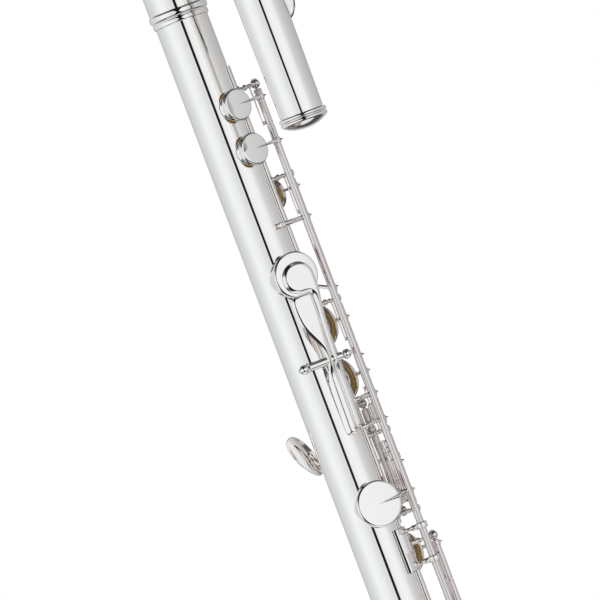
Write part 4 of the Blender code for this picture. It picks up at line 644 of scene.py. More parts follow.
def round_normals(made):
    """Gives the outer wall of a straight tube the normals of a true cylinder."""
    mesh = made.data
    corners = np.empty(len(mesh.loops) * 3, np.float32)
    mesh.corner_normals.foreach_get("vector", corners)
    corners = corners.reshape(-1, 3)
    points = np.empty(len(mesh.vertices) * 3, np.float32)
    mesh.vertices.foreach_get("co", points)
    of_corner = np.empty(len(mesh.loops), np.int32)
    mesh.loops.foreach_get("vertex_index", of_corner)
    flat = points.reshape(-1, 3)[of_corner] * np.array([1.0, 1.0, 0.0])
    radius = np.linalg.norm(flat, axis=1)
    away = flat / np.maximum(radius, 1e-6)[:, None]
    on_wall = (np.abs(radius - TUBE_R * 0.001) < 2e-6) & ((corners * away).sum(axis=1) > 0.985)
    corners[on_wall] = away[on_wall]
    mesh.normals_split_custom_set(corners.tolist())


def body_tube():
    """The main tube with its 13 tone holes."""
    holes = [D_SHARP_TRILL, D_TRILL, C_SHARP, THUMB_B, B_FLAT, A, UPPER_G, LOWER_G, G_SHARP, F_SHARP, F, E, D]
    round_normals(piece("body_tube", drilled_tube(BODY_LOW, BODY_TOP, holes)))


def bead(radius, rise, low, high, steps=7):
    """The profile of a round bead on a tube, from its lower edge to its upper."""
    swell = np.linspace(0.0, math.pi, steps)
    middle, half = (low + high) / 2.0, (high - low) / 2.0
    return list(zip(radius + rise * np.sin(swell), middle - half * np.cos(swell)))


def barrel():
    """The head receiver: a thin sleeve with two beads at its foot and one on top."""
    inner = TUBE_R + GAP
    outer = inner + 0.5
    low, high = BARREL_LOW, BARREL_LOW + 57.0
    profile = [(inner, low), (outer - 0.35, low), *bead(outer - 0.35, 0.5, low, low + 2.6),
               (outer - 0.25, low + 2.8), *bead(outer, 0.8, low + 3.0, low + 6.6, 9),
               *bead(outer, 0.75, high - 2.7, high - 0.2), (outer - 0.1, high),
               (inner + 0.1, high), (inner, high - 0.2), (inner, low)]
    piece("barrel", [revolved(profile, standing(AXIS), 144)])


def foot_tube():
    """The foot joint's tube: end ring, three tone holes, and the receiver for the body."""
    inner = TUBE_R + GAP
    outer = inner + 0.5
    low, high = FOOT_RECEIVER_LOW, FOOT_RECEIVER_TOP
    receiver = [(TUBE_R - 0.2, low - 1.4), (TUBE_R + 0.05, low - 1.4), (TUBE_R + 0.35, low - 0.9),
                (outer, low + 0.3), (outer, low + 1.2), (outer, high - 3.1), *bead(outer, 0.7, high - 2.9, high - 0.2),
                (outer - 0.1, high), (inner, high), (inner, BODY_LOW - GAP), (TUBE_R - 0.2, BODY_LOW - GAP),
                (TUBE_R - 0.2, low - 1.4)]
    ring = [(TUBE_R - 0.3, 0.0), (TUBE_R + 1.3, 0.0), *bead(TUBE_R + 0.6, 1.25, 0.1, 2.1),
            *bead(TUBE_R + 0.5, 0.9, 2.3, 3.7), (TUBE_R + 0.1, 4.2), (TUBE_R - 0.3, 4.2), (TUBE_R - 0.3, 0.0)]
    tube = drilled_tube(0.0, BODY_LOW - GAP - 0.2, [FOOT_E_FLAT, FOOT_C_SHARP, FOOT_C])
    grids = [*tube, revolved(receiver, standing(AXIS), 144), revolved(ring, standing(AXIS), 144)]
    round_normals(piece("foot_tube", grids))


# Parts of keys

def cup(turn, z, size):
    """A key cup: shallow dome, crisp shoulder, drum wall with a rolled foot, hollow inside."""
    radius = size[0]
    inner = radius - CUP_WALL
    ceiling = GAP + PAD_DEPTH + 0.1
    share = np.linspace(0.0, 1.0, 10)[:, None]
    flat = radius - 0.9
    dome = np.concatenate([flat * share, CUP_HEIGHT - 0.35 * share ** 2], axis=1)
    wall = soft([dome[-2], dome[-1], (radius - 0.12, CUP_HEIGHT - 0.75), (radius, CUP_HEIGHT - 1.5),
                 (radius, CUP_EDGE + 0.4), (radius - 0.12, CUP_EDGE), (inner + 0.1, CUP_EDGE),
                 (inner, CUP_EDGE + 0.3), (inner, ceiling), (0.0, ceiling)], 0.32)
    return revolved(np.concatenate([dome[:-1], wall[1:]]), seat(turn, z, size[1]), 72)


def pad(turn, z, size):
    """A skin pad with a bulging edge, and a shallow ring where the rim presses."""
    radius = pad_radius(size)
    ring = rim_radius(size) - CHIMNEY_FLARE
    profile = soft([(0.0, GAP + PAD_DEPTH), (radius, GAP + PAD_DEPTH), (radius + 0.1, GAP + 1.0),
                    (radius - 0.3, GAP + 0.05), (ring + 0.8, GAP), (ring, GAP + 0.15), (ring - 0.8, GAP),
                    (0.0, GAP)], 0.6)
    return revolved(profile, seat(turn, z, size[1]), 60)


# Section of an arm, with its ridge near the upper edge: (along the flute, outward)
ARM_SECTION = np.array([(-1.0, -0.6), (-1.0, 0.3), (-0.8, 0.6), (0.1, 0.97), (0.45, 1.0), (1.0, 0.1), (1.0, -0.6),
                        (0.3, -0.8), (-1.0, -0.6)])


def arm(line, hole, bends):
    """A knife-backed arm that widens from a point at the cup's middle to its hinge line."""
    turn, z, (radius, rim) = hole
    place = seat(turn, z)
    top = rim + CUP_HEIGHT
    side = line @ sideways(turn)
    way = math.copysign(1.0, side)
    points = [(-way * 0.5, top - 0.05), (way * 0.4 * radius, top + 0.05), (way * (radius - 0.4), top + 0.05)]
    points += [(way * x, y) for x, y in bends]
    points.append((side, line @ outward(turn)))
    path = even(soft([at(place, x, 0.0, y) for x, y in points], 2.4, 6), 36)
    grown = np.linspace(0.0, 1.0, len(path)) * np.linalg.norm(np.diff(path, axis=0), axis=1).sum()
    grown = np.clip(grown / (radius + 4.0), 0.0, 1.0)
    wide = 0.06 + 0.1 * radius * grown
    high = 0.12 + 0.88 * np.minimum(grown * 1.3, 1.0)
    path = path + UP * (wide * 0.3 - 0.1)[:, None]
    ahead = unit(np.gradient(path * np.array([1.0, 1.0, 0.0]), axis=0))
    section = np.stack([wide[:, None] * ARM_SECTION[:, 0], high[:, None] * ARM_SECTION[:, 1]], axis=-1)
    return carried(path, np.broadcast_to(UP, path.shape), np.cross(ahead, UP) * way, section)


def sleeve(line, low, high, radius=SLEEVE_R):
    """A hinge tube with eased ends and a hair-fine turned line near each."""
    marks = [(radius, low + 0.75), (radius - 0.12, low + 0.85), (radius, low + 0.95), (radius, high - 0.95),
             (radius - 0.12, high - 0.85), (radius, high - 0.75)]
    profile = [(0.0, low), (radius - 0.16, low), (radius, low + 0.16), *marks, (radius, high - 0.16),
               (radius - 0.16, high), (0.0, high)]
    return revolved(profile, standing(line), 32)


def collar(line, z, radius=2.15, half=1.45):
    """The ring by which an arm holds its hinge tube."""
    profile = soft([(0.0, z - half), (radius - 0.2, z - half), (radius, z - half + 0.3), (radius, z + half - 0.3),
                    (radius - 0.2, z + half), (0.0, z + half)], 0.2)
    return revolved(profile, standing(line), 32)


def tail(line, z, reach=3.3):
    """The pointed end of an arm on the far side of its hinge tube."""
    away = np.array([0.94, 0.34, 0.0])
    share = np.linspace(0.0, 1.0, 8)[:, None]
    wide = 1.55 * (1.0 - share[:, 0]) ** 0.8 + 0.1
    return bar(line + UP * z + away * reach * share, wide, wide * 0.8, UP, 1.3, 14)


def held(line, hole, bends):
    """An arm with its collar and tail."""
    return [arm(line, hole, bends), collar(line, hole[1] + 0.2), tail(line, hole[1] + 0.2)]


def catch(line, post, reach):
    """The hook that a needle spring presses on, with its round knob."""
    start = line + UP * (post + reach)
    share = np.linspace(0.0, 1.0, 5)[:, None]
    return bar(start - unit(line) * 2.4 * share, [0.6, 0.5, 0.45, 0.6, 0.95])


def needle(line, post, reach):
    """A needle spring from a post's shaft to a little past its catch, thinner toward its tip."""
    share = np.linspace(0.0, 1.0, 8)[:, None]
    start = line - unit(line) * SPRING_OFFSET + UP * post
    path = start + UP * (reach + math.copysign(0.8, reach)) * share
    return bar(path, np.linspace(0.42, 0.3, 8), facing=(1.0, 0.0, 0.0), sides=12)


def bent(points, line, radii, angle=0.0, power=2.0, facing=(0.0, 0.0, 1.0), reach=3.0):
    """A bar along softened bends, in the rest place unless an angle takes it there."""
    path = even(soft(points, reach, 6), 28)
    made = bar(path, radii, None, facing, power)
    return swung([made], line, UP, angle)[0] if angle else made


# Arms between a cup's edge and its hinge: (side, out) in the hole's frame
C_SHARP_BENDS = [(10.4, 19.7)]
FRONT_BENDS = [(13.4, 19.2), (16.0, 17.6)]
RIGHT_BENDS = [(14.4, 19.2), (18.8, 17.8)]
TRILL_BENDS = [(11.6, 18.3), (15.4, 16.6)]
OFFSET_G_BENDS = [(13.6, 18.4), (16.6, 14.0)]
G_SHARP_BENDS = [(13.4, 14.0), (15.2, 8.0), (18.3, 2.9)]
FOOT_E_FLAT_BENDS = [(14.0, 19.3)]


# Posts, ribs, steels and springs

def post(line, z, base=RIB_OUT - 0.4):
    """A turned post: flange, neck, bead, neck, small bead and ball, standing straight out of the tube."""
    length = np.linalg.norm(line) - base
    turn = math.degrees(math.atan2(line[0], -line[1]))
    shaft = soft([(0.0, -0.2), (POST_FOOT_R, -0.2), (POST_FOOT_R, 0.85), (POST_NECK_R + 0.1, 1.25),
                  (POST_NECK_R, 0.27 * length), (POST_BEAD_R, 0.33 * length), (POST_BEAD_R, 0.44 * length),
                  (POST_NECK_R, 0.5 * length), (POST_NECK_R - 0.1, 0.56 * length), (1.15, 0.6 * length),
                  (1.15, 0.66 * length), (POST_NECK_R - 0.1, 0.7 * length),
                  (POST_NECK_R, length - BALL_R * 0.92)], 0.22)
    ball = np.radians(np.linspace(-66.0, 90.0, 16))
    head = np.stack([BALL_R * np.cos(ball), length + BALL_R * np.sin(ball)], axis=-1)
    return revolved(np.concatenate([shaft, head]), seat(turn, z, base), 36)


def pivot_screw(line, z, way):
    """The head of a pivot screw on the free side of a post's ball, with its slot."""
    turn = np.linspace(0.0, math.tau, 33)
    radius = np.array([0.0, 0.25, 0.5, 0.75, 0.9, 1.05, 1.12, 1.12, 0.0])[:, None]
    height = np.array([0.5, 0.5, 0.5, 0.5, 0.5, 0.47, 0.38, -1.2, -1.2])[:, None] + 0.0 * turn
    slot = (np.abs(radius * np.sin(turn)) < 0.17) & (height > 0.3)
    place = line + UP * (z + way * (BALL_R - 0.25)), np.array([1.0, 0.0, 0.0]), np.array([0.0, 1.0, 0.0]), UP * way
    return at(place, radius * np.cos(turn), radius * np.sin(turn), height - 0.3 * slot)


def guide_post(line, z, base=RIB_OUT - 0.4):
    """A post whose eye goes round a turning hinge tube."""
    length = np.linalg.norm(line) - base
    turn = math.degrees(math.atan2(line[0], -line[1]))
    shaft = soft([(0.0, -0.2), (POST_FOOT_R, -0.2), (POST_FOOT_R, 0.6), (POST_NECK_R, 1.1),
                  (POST_NECK_R, 0.35 * length), (POST_BEAD_R, 0.5 * length), (1.2, length - SLEEVE_R - 0.6),
                  (0.0, length - SLEEVE_R - 0.5)], 0.25)
    inner, outer = SLEEVE_R + 0.32, SLEEVE_R + 1.15
    eye = soft([(inner, z - 1.5), (outer - 0.3, z - 1.5), (outer, z - 1.1), (outer, z + 1.1), (outer - 0.3, z + 1.5),
                (inner, z + 1.5)], 0.25)
    eye = np.concatenate([eye, eye[:1]])
    return [revolved(shaft, seat(turn, z, base), 32), revolved(eye, standing(line), 40)]


def rib(turns, low, high):
    """A plate bent round the tube: its section is carried up the flute, with eased edges and closed ends."""
    ease = 0.28
    first, last = turns
    corner = math.degrees(ease / RIB_OUT)
    arc = np.concatenate([[first], np.linspace(first + corner, last - corner, 20), [last]])
    inner, outer = TUBE_R + 0.04, RIB_OUT
    rise = np.concatenate([[outer - ease], np.full(20, outer), [outer - ease]])
    turn = np.concatenate([arc, arc[::-1], arc[:1]])
    radius = np.concatenate([rise, np.full(22, inner), rise[:1]])
    middle = np.full(len(radius), (inner + outer) / 2.0)
    eased = np.minimum(radius, outer - ease)
    rows = [(low, middle), (low, eased), (low + ease, radius), (high - ease, radius), (high, eased), (high, middle)]
    return np.stack([outward(turn) * r[:, None] + UP * z for z, r in rows])


def saddle(low, high):
    """The seat of the trill guides: an outer plate with a bevelled left edge, and a smaller one on it."""
    grids = []
    for edge, flat, inner, bottom, top in (
            ([(58.8, 13.2), (58.9, 13.85), (59.96, 14.09), (61.04, 14.32), (62.0, 14.55), (63.2, 14.85)],
             (65.0, 97.0, 15.0), TUBE_R + 0.04, low, high),
            ([(67.4, 15.0), (67.6, 15.5), (68.3, 15.8)], (69.4, 92.0, 16.0), 14.9, low + 9.4, high - 3.0)):
        first, last, outer = flat
        ease = 0.3
        arc = edge + [(turn, outer) for turn in np.linspace(first, last, 14)] + [(last + 1.1, outer - ease)]
        turn, radius = np.array(arc + [(t, inner) for t, _ in arc[::-1]] + arc[:1]).T
        middle = np.full(len(radius), (inner + outer) / 2.0)
        eased = np.minimum(radius, outer - ease)
        rows = [(bottom, middle), (bottom, eased), (bottom + ease, radius), (top - ease, radius), (top, eased),
                (top, middle)]
        grids.append(np.stack([outward(turn) * r[:, None] + UP * z for z, r in rows]))
    return grids


def rod(line, low, high, radius=STEEL_R):
    """A plain rod with eased ends."""
    profile = [(0.0, low), (radius - 0.15, low), (radius, low + 0.15), (radius, high - 0.15),
               (radius - 0.15, high), (0.0, high)]
    return revolved(profile, standing(line), 24)


def body_hardware():
    """Ribs with their posts, springs and pivot screws, and the steels of the body."""
    left, right, trill = LEFT_LINE, RIGHT_LINE, TRILL_LINE
    grids = [rib(SIDE_RIB_TURNS, G_SHARP_POST - RIB_MARGIN, LEFT_RIB_TOP), post(trill, TRILL_TOP_POST)]
    grids += [post(left, z) for z in (C_SHARP_POST, B_FLAT_POST, LINK_POST, G_SHARP_POST)]
    grids += [needle(trill, TRILL_TOP_POST, -19.3), needle(left, C_SHARP_POST, -19.0),
              needle(left, B_FLAT_POST, -20.0), needle(left, LINK_POST, 22.0)]
    grids += [pivot_screw(trill, TRILL_TOP_POST, 1.0), pivot_screw(left, C_SHARP_POST, 1.0),
              pivot_screw(left, G_SHARP_POST, -1.0)]
    piece("left_hand_posts", grids)

    grids = [rib(G_RIB_TURNS, G_LOW_POST - RIB_MARGIN, G_TOP_POST + RIB_MARGIN), post(G_LINE, G_TOP_POST),
             post(G_LINE, G_LOW_POST), pivot_screw(G_LINE, G_TOP_POST, 1.0), pivot_screw(G_LINE, G_LOW_POST, -1.0)]
    piece("g_posts", grids)

    top = G_SHARP_POST - RIB_MARGIN - 2.0
    grids = [rib(SIDE_RIB_TURNS, D_POST - RIB_MARGIN, top), *saddle(top - SADDLE_LENGTH, top),
             post(trill, TRILL_LOW_POST), pivot_screw(trill, TRILL_LOW_POST, -1.0)]
    grids += [post(right, z) for z in (F_SHARP_POST, E_POST, D_POST)]
    grids += [needle(right, F_SHARP_POST, -20.7), needle(right, E_POST, 16.8), needle(right, E_POST, -20.2),
              needle(right, D_POST, 16.0), pivot_screw(right, F_SHARP_POST, 1.0), pivot_screw(right, D_POST, -1.0)]
    for z in TRILL_GUIDES:
        grids += guide_post(trill, z)
    piece("right_hand_posts", grids)

    piece("c_sharp_steel", [rod(left, B_FLAT_POST + STEEL_OVERHANG + GAP, C_SHARP_POST + STEEL_OVERHANG)])
    piece("g_sharp_steel", [rod(left, G_SHARP_POST - STEEL_OVERHANG, LINK_POST - STEEL_OVERHANG - GAP)])
    piece("g_steel", [rod(G_LINE, G_LOW_POST - STEEL_OVERHANG, G_TOP_POST + STEEL_OVERHANG)])
    piece("right_hand_steel", [rod(right, D_POST - STEEL_OVERHANG, F_SHARP_POST + STEEL_OVERHANG)])


def foot_hardware():
    """Rib, posts, steel and needle springs of the foot joint."""
    line = FOOT_LINE
    grids = [rib(FOOT_RIB_TURNS, FOOT_LOW_POST - RIB_MARGIN, FOOT_MID_POST + 2.4), post(line, FOOT_MID_POST),
             post(line, FOOT_LOW_POST), needle(line, FOOT_LOW_POST, 22.4), pivot_screw(line, FOOT_LOW_POST, -1.0)]
    piece("foot_posts", grids)
    piece("foot_top_post", [post(line, FOOT_TOP_POST, TUBE_R + 1.1), needle(line, FOOT_TOP_POST, -15.2),
                            pivot_screw(line, FOOT_TOP_POST, 1.0)])
    piece("foot_steel", [rod(line, FOOT_MID_POST + STEEL_OVERHANG + GAP, FOOT_TOP_POST + STEEL_OVERHANG)])


# Keys of the left hand

def above(post_z):
    """The lower end of a hinge tube that stands on a post."""
    return post_z + BALL_R + SLEEVE_CLEARANCE


def below(post_z):
    """The upper end of a hinge tube that hangs under a post."""
    return post_z - BALL_R - SLEEVE_CLEARANCE


def touch_dish(turn, z, centre, half_wide, half_high, depth, thickness=1.2):
    """An oval touch, dished toward the finger, with a rounded edge."""
    angle = np.linspace(0.0, math.pi, 41)
    left = np.stack([-half_wide * np.sin(angle), half_high * np.cos(angle)], axis=-1)
    right = left * np.array([-1.0, 1.0])
    place = (np.array([centre[0], centre[1], z]), sideways(turn), UP, outward(turn))

    def face(side, up):
        share = (side / half_wide) ** 2 + (up / half_high) ** 2
        return thickness / 2.0 + 0.1 - depth * (1.0 - np.minimum(share, 1.0))
    return leaf(place, left, right, face, thickness, 0.35, 0.6)


def trill_touch(z, plate_z):
    """A trill key's touch on the front, reached inside the right-hand line."""
    points = [TRILL_LINE + UP * z, (21.5, 9.8, z), (17.6, 12.6, z), (14.6, 17.6, z), (11.0, 20.6, (z + plate_z) / 2),
              (7.5, 21.0, plate_z)]
    dish = touch_dish(TOUCH_TURN, plate_z, (5.5, 21.2), 6.5, 4.4, 0.7)
    return [bent(points, TRILL_LINE, [1.2, 1.1, 1.0, 1.0, 0.9, 0.8]), collar(TRILL_LINE, z), *dish]


def trill_keys():
    """The D sharp trill's rod turns inside the D trill key's tube, and carries a tube at each end."""
    low, high = D_SHARP_TO_D_TRILL + GAP / 2, below(TRILL_TOP_POST)
    grids = [sleeve(TRILL_LINE, low, high), cup(*D_SHARP_TRILL), *held(TRILL_LINE, D_SHARP_TRILL, TRILL_BENDS),
             collar(TRILL_LINE, high - 1.3, 2.05, 0.5), collar(TRILL_LINE, high - 0.3, 2.05, 0.4),
             catch(TRILL_LINE, TRILL_TOP_POST, -19.3)]
    piece("d_sharp_trill_key", grids)
    piece("d_sharp_trill_pad", [pad(*D_SHARP_TRILL)])
    low, high = above(TRILL_LOW_POST), D_TRILL_TO_D_SHARP - GAP / 2
    touch = trill_touch(D_SHARP_TOUCH, D_SHARP_TOUCH + 0.6)
    piece("d_sharp_trill_touch", [sleeve(TRILL_LINE, low, high), *touch])
    piece("d_sharp_trill_rod", [rod(TRILL_LINE, TRILL_LOW_POST - STEEL_OVERHANG, TRILL_TOP_POST + STEEL_OVERHANG)])
    low, high = D_TRILL_TO_D_SHARP + GAP / 2, D_SHARP_TO_D_TRILL - GAP / 2
    grids = [sleeve(TRILL_LINE, low, high), cup(*D_TRILL), *held(TRILL_LINE, D_TRILL, TRILL_BENDS),
             *trill_touch(D_TOUCH, D_TOUCH - 1.5)]
    piece("d_trill_key", grids)
    piece("d_trill_pad", [pad(*D_TRILL)])


def inside_trill_line(line, z):
    """The way of an arm from its hinge line to the tube's back, between the rib and the trill line."""
    return [line + UP * z, (STOP_X + 1.0, line[1] - 6.5, z), (STOP_X, STOP_LOW_Y, z)]


def stop_arm(line, z, turn):
    """A round stop arm that rests on the tube's back, with a square foot on a cork."""
    rest = outward(turn) * (TUBE_R + 1.7) + UP * z
    grids = [bent([*inside_trill_line(line, z), rest], line, [1.0, 1.25, 1.25, 1.2]), collar(line, z)]
    side = sideways(turn)
    share = np.linspace(-1.0, 1.0, 6)[:, None]
    grids.append(bar(rest + side * 1.2 * share, 1.4, 1.25, outward(turn), 5.0, 24))
    return grids


def stop_cork(line, z, turn):
    """The thin cork under a stop arm's foot."""
    share = np.linspace(-1.0, 1.0, 6)[:, None]
    rest = outward(turn) * (TUBE_R + 0.28) + UP * z
    return bar(rest + sideways(turn) * 1.0 * share, 1.2, 0.24, outward(turn), 5.0, 24)


def c_sharp_key():
    """The small C sharp key, with the lower touch that the first finger reaches."""
    foot = C_SHARP_TOUCH
    points = [LEFT_LINE + UP * foot, (15.0, 19.2, foot + 0.6), (7.0, 21.2, foot + 3.6), (2.0, 21.2, foot + 5.0)]
    grids = [sleeve(LEFT_LINE, above(B_FLAT_POST), below(C_SHARP_POST)), cup(*C_SHARP),
             *held(LEFT_LINE, C_SHARP, C_SHARP_BENDS), tail(LEFT_LINE, C_SHARP_STOP), tail(LEFT_LINE, foot),
             collar(LEFT_LINE, foot), bent(points, LEFT_LINE, [1.2, 1.0, 0.9, 0.8]),
             *touch_dish(TOUCH_TURN, foot + 8.6, (2.0, 21.4), 5.2, 8.0, 0.8),
             catch(LEFT_LINE, C_SHARP_POST, -19.0)]
    grids = opened(grids, "c_sharp_hinge") + stop_arm(LEFT_LINE, C_SHARP_STOP, 64.0)
    piece("c_sharp_key", grids)
    piece("c_sharp_pad", opened([pad(*C_SHARP)], "c_sharp_hinge"))
    piece("c_sharp_key", [stop_cork(LEFT_LINE, C_SHARP_STOP, 64.0)], "c_sharp_stop_cork", "cork")


def b_flat_key():
    """The B flat key: its rod runs inside the A key's tube to the link over the thumb lever."""
    place = seat(THUMB_TURN, LINK_Z)
    side, out = 5.6, TUBE_R + 5.75
    link = [*inside_trill_line(LEFT_LINE, LINK_Z), at(place, side + 5.6, 0.0, out - 3.4),
            at(place, side + 3.2, 0.0, out), at(place, side - 0.4, 0.0, out)]
    grids = [rod(LEFT_LINE, LINK_POST - STEEL_OVERHANG, B_FLAT_POST + STEEL_OVERHANG),
             sleeve(LEFT_LINE, B_FLAT_TO_A + GAP / 2, below(B_FLAT_POST)),
             sleeve(LEFT_LINE, above(LINK_POST), A_TO_LINK - GAP / 2), cup(*B_FLAT),
             *held(LEFT_LINE, B_FLAT, FRONT_BENDS), tail(LEFT_LINE, LINK_Z), collar(LEFT_LINE, LINK_Z),
             catch(LEFT_LINE, B_FLAT_POST, -20.0), lug(LEFT_LINE, LINK_Z + 4.4, 4.6)]
    grids = opened(grids, "b_flat_hinge")
    path = even(soft(link, 2.4, 6), 40)
    grids.append(bar(path, [1.1, 1.25, 1.25, 1.25, 1.2, 1.1], [0.9, 0.9, 0.9, 0.9, 0.85, 0.8], (0, 0, 1), 2.6))
    piece("b_flat_key", grids)
    piece("b_flat_pad", opened([pad(*B_FLAT)], "b_flat_hinge"))


def a_key():
    """The A key, with the stop arm that rests on the tube."""
    grids = [sleeve(LEFT_LINE, A_TO_LINK + GAP / 2, B_FLAT_TO_A - GAP / 2), cup(*A),
             *held(LEFT_LINE, A, FRONT_BENDS), tail(LEFT_LINE, A_STOP), tail(LEFT_LINE, A_TAIL),
             collar(LEFT_LINE, A_TAIL, 2.0, 0.9), catch(LEFT_LINE, LINK_POST, 22.0)]
    grids = opened(grids, "a_hinge") + stop_arm(LEFT_LINE, A_STOP, 80.0)
    piece("a_key", grids)
    piece("a_pad", opened([pad(*A)], "a_hinge"))
    piece("a_key", [stop_cork(LEFT_LINE, A_STOP, 80.0)], "a_stop_cork", "cork")


def g_key():
    """The G key: two cups, offset toward the left hand, on one tube."""
    grids = [sleeve(G_LINE, above(G_LOW_POST), below(G_TOP_POST))]
    for hole in (UPPER_G, LOWER_G):
        grids += [cup(*hole), arm(G_LINE, hole, OFFSET_G_BENDS), collar(G_LINE, hole[1] + 0.2)]
    piece("g_key", opened(grids, "g_hinge"))
    piece("g_upper_pad", opened([pad(*UPPER_G)], "g_hinge"))
    piece("g_lower_pad", opened([pad(*LOWER_G)], "g_hinge"))


SPOON_LOW = np.array([-17.2, 7.9, G_SHARP_LEVER + 5.7])
SPOON_HIGH = np.array([-24.6, -3.2, G_SHARP_LEVER + 27.4])
SPOON_TURN = 243.0


def spoon():
    """The little finger's leaf-shaped touch, a little dished along its length."""
    low = SPOON_LOW + np.array([-0.4, -0.3, -1.4])
    high = SPOON_HIGH + np.array([0.3, 0.5, -1.6])
    along = unit(high - low)
    out = outward(SPOON_TURN)
    out = unit(out - along * (out @ along))
    place = ((low + high) / 2.0, np.cross(along, out), along, out)
    half = np.linalg.norm(high - low) / 2.0
    angle = np.linspace(0.0, math.pi, 61)
    up = half * np.cos(angle)
    wide = 5.7 * np.sin(angle) ** 0.85 * (1.0 + 0.12 * np.cos(angle))
    edge = np.stack([wide, up], axis=-1)

    def face(side, rise):
        return 0.3 - 1.1 * (1.0 - np.minimum((side / 5.7) ** 2 + (rise / half) ** 2, 1.0))
    return leaf(place, edge * np.array([-1.0, 1.0]), edge, face, 1.1, 0.3, 0.5)


def lug(line, z, half):
    """A flat lug on a hinge tube that points at the tube's back, with a square end."""
    share = np.linspace(0.0, 1.0, 6)[:, None]
    away = np.array([-3.4, -1.0, 0.0])
    return bar(line + UP * z + away * share, half, 1.25, (-0.3, 0.95, 0.0), 6.0, 28)


def g_sharp_key():
    """The G sharp key: cup at the back, lever over the front and a spoon at the left."""
    lever = [(19.0, 14.5, 0.0), (16.6, 18.4, 0.0), (11.5, 20.0, 0.0), (4.0, 19.8, 0.0), (-4.0, 18.7, 0.2),
             (-11.5, 14.9, 1.8), (-15.6, 10.8, 3.6)]
    lever = [np.array(place) + UP * G_SHARP_LEVER for place in lever]
    lever += [SPOON_LOW, SPOON_LOW * 0.7 + SPOON_HIGH * 0.3]
    path = even(soft(lever, 2.6, 6), 60)
    grids = [sleeve(LEFT_LINE, above(G_SHARP_POST), below(LINK_POST)), cup(*G_SHARP),
             *held(LEFT_LINE, G_SHARP, G_SHARP_BENDS), tail(LEFT_LINE, G_SHARP_LEVER - 3.0),
             collar(LEFT_LINE, G_SHARP_LEVER), bar(path, [1.4, 1.3, 1.3, 1.3, 1.2, 1.2, 1.4, 0.8], 1.0), *spoon()]
    rail = LEFT_LINE + np.array([-3.0, -0.9, 0.0])
    grids += [sleeve(rail, G_SHARP_POST + 4.4, LINK_POST - 4.6, 1.3)]
    grids += [collar(rail, z, 1.6, 0.8) for z in (G_SHARP_POST + 7.0, G_SHARP[1] + 6.0, LINK_POST - 11.5)]
    grids += [lug(LEFT_LINE, z, half) for z, half in ((G_SHARP_POST + 6.0, 1.5), (LINK_POST - 7.0, 2.2),
                                                      (G_SHARP_LEVER + 1.0, 3.0))]
    piece("g_sharp_key", grids)
    piece("g_sharp_pad", [pad(*G_SHARP)])


# Thumb keys

THUMB_HINGE_OUT = TUBE_R + 3.85
THUMB_BARREL_R = 1.95
THUMB_BORDER = 4.15
THUMB_BARREL_HALF = 9.2
THUMB_BALL_SIDE = 11.9
CUP_TOP = LARGE[1] + CUP_HEIGHT
STRAP_OUT = TUBE_R + 5.65
STRIP_OUT = TUBE_R + 4.05
TOUCH_TOP = CUP_TOP + 1.7

# Edges of the plates, top to bottom: left side and height, right side and height, above the cross pin
TEARDROP = [(-2.0, 34.6, 1.0, 34.6), (-5.4, 34.0, 3.0, 34.3), (-6.9, 32.4, 4.1, 33.0), (-7.4, 29.2, 4.3, 29.6),
            (-7.2, 25.0, 4.3, 25.5), (-6.4, 20.4, 4.2, 20.6), (-4.9, 16.2, 3.9, 16.4), (-2.8, 12.2, 3.6, 12.4),
            (-0.9, 8.6, 3.4, 8.6), (0.2, 5.4, 3.2, 5.4), (0.6, 2.4, 3.1, 2.4), (0.6, -1.0, 3.2, -1.0),
            (0.0, -4.5, 3.5, -4.5), (-0.8, -8.5, 3.8, -8.5), (-1.2, -14.0, 4.0, -14.0), (-1.2, -25.0, 4.0, -25.0),
            (-1.2, -34.9, 4.0, -35.2), (-0.7, -36.7, 3.8, -36.9), (0.4, -37.4, 3.0, -37.45), (1.4, -37.5, 1.6, -37.5)]
LEVER = [(0.4, 34.6, 8.4, 35.2), (2.5, 34.3, 8.4, 34.3), (3.9, 33.2, 8.2, 33.0), (4.5, 30.8, 7.9, 30.8),
         (4.5, 27.0, 7.4, 27.0), (4.2, 21.0, 7.0, 21.0), (4.1, 14.0, 6.8, 14.0), (4.2, 7.0, 6.7, 7.0),
         (4.3, 2.4, 6.6, 2.4), (4.3, -1.0, 6.6, -1.0), (4.3, -4.5, 6.9, -4.5), (4.3, -8.5, 7.3, -8.5),
         (4.3, -14.0, 7.5, -14.0), (4.3, -25.0, 7.5, -25.0), (4.3, -33.6, 7.5, -33.6), (4.5, -35.0, 7.3, -35.0),
         (5.2, -35.5, 6.6, -35.5)]
TOUCH_HALF = (8.3, 7.9)
TOUCH_UP = 42.4


def thumb_place():
    """The frame of the thumb plates: its origin on the tube's axis, level with the cross pin."""
    return seat(THUMB_TURN, THUMB_PIN[2])


def cross_bar(profile):
    """A turned surface about the cross pin: (radius, side) points."""
    origin = seat(THUMB_TURN, THUMB_PIN[2], THUMB_HINGE_OUT)[0]
    return revolved(profile, (origin, UP, outward(THUMB_TURN), sideways(THUMB_TURN)), 40)


def thumb_barrel(low, high):
    """A stretch of the barrel on the cross pin, with a turned line at each end."""
    r = THUMB_BARREL_R
    return cross_bar([(0.0, low), (r - 0.2, low), (r, low + 0.2), (r, low + 0.7), (r - 0.12, low + 0.8),
                      (r, low + 0.9), (r, high - 0.2), (r - 0.2, high), (0.0, high)])


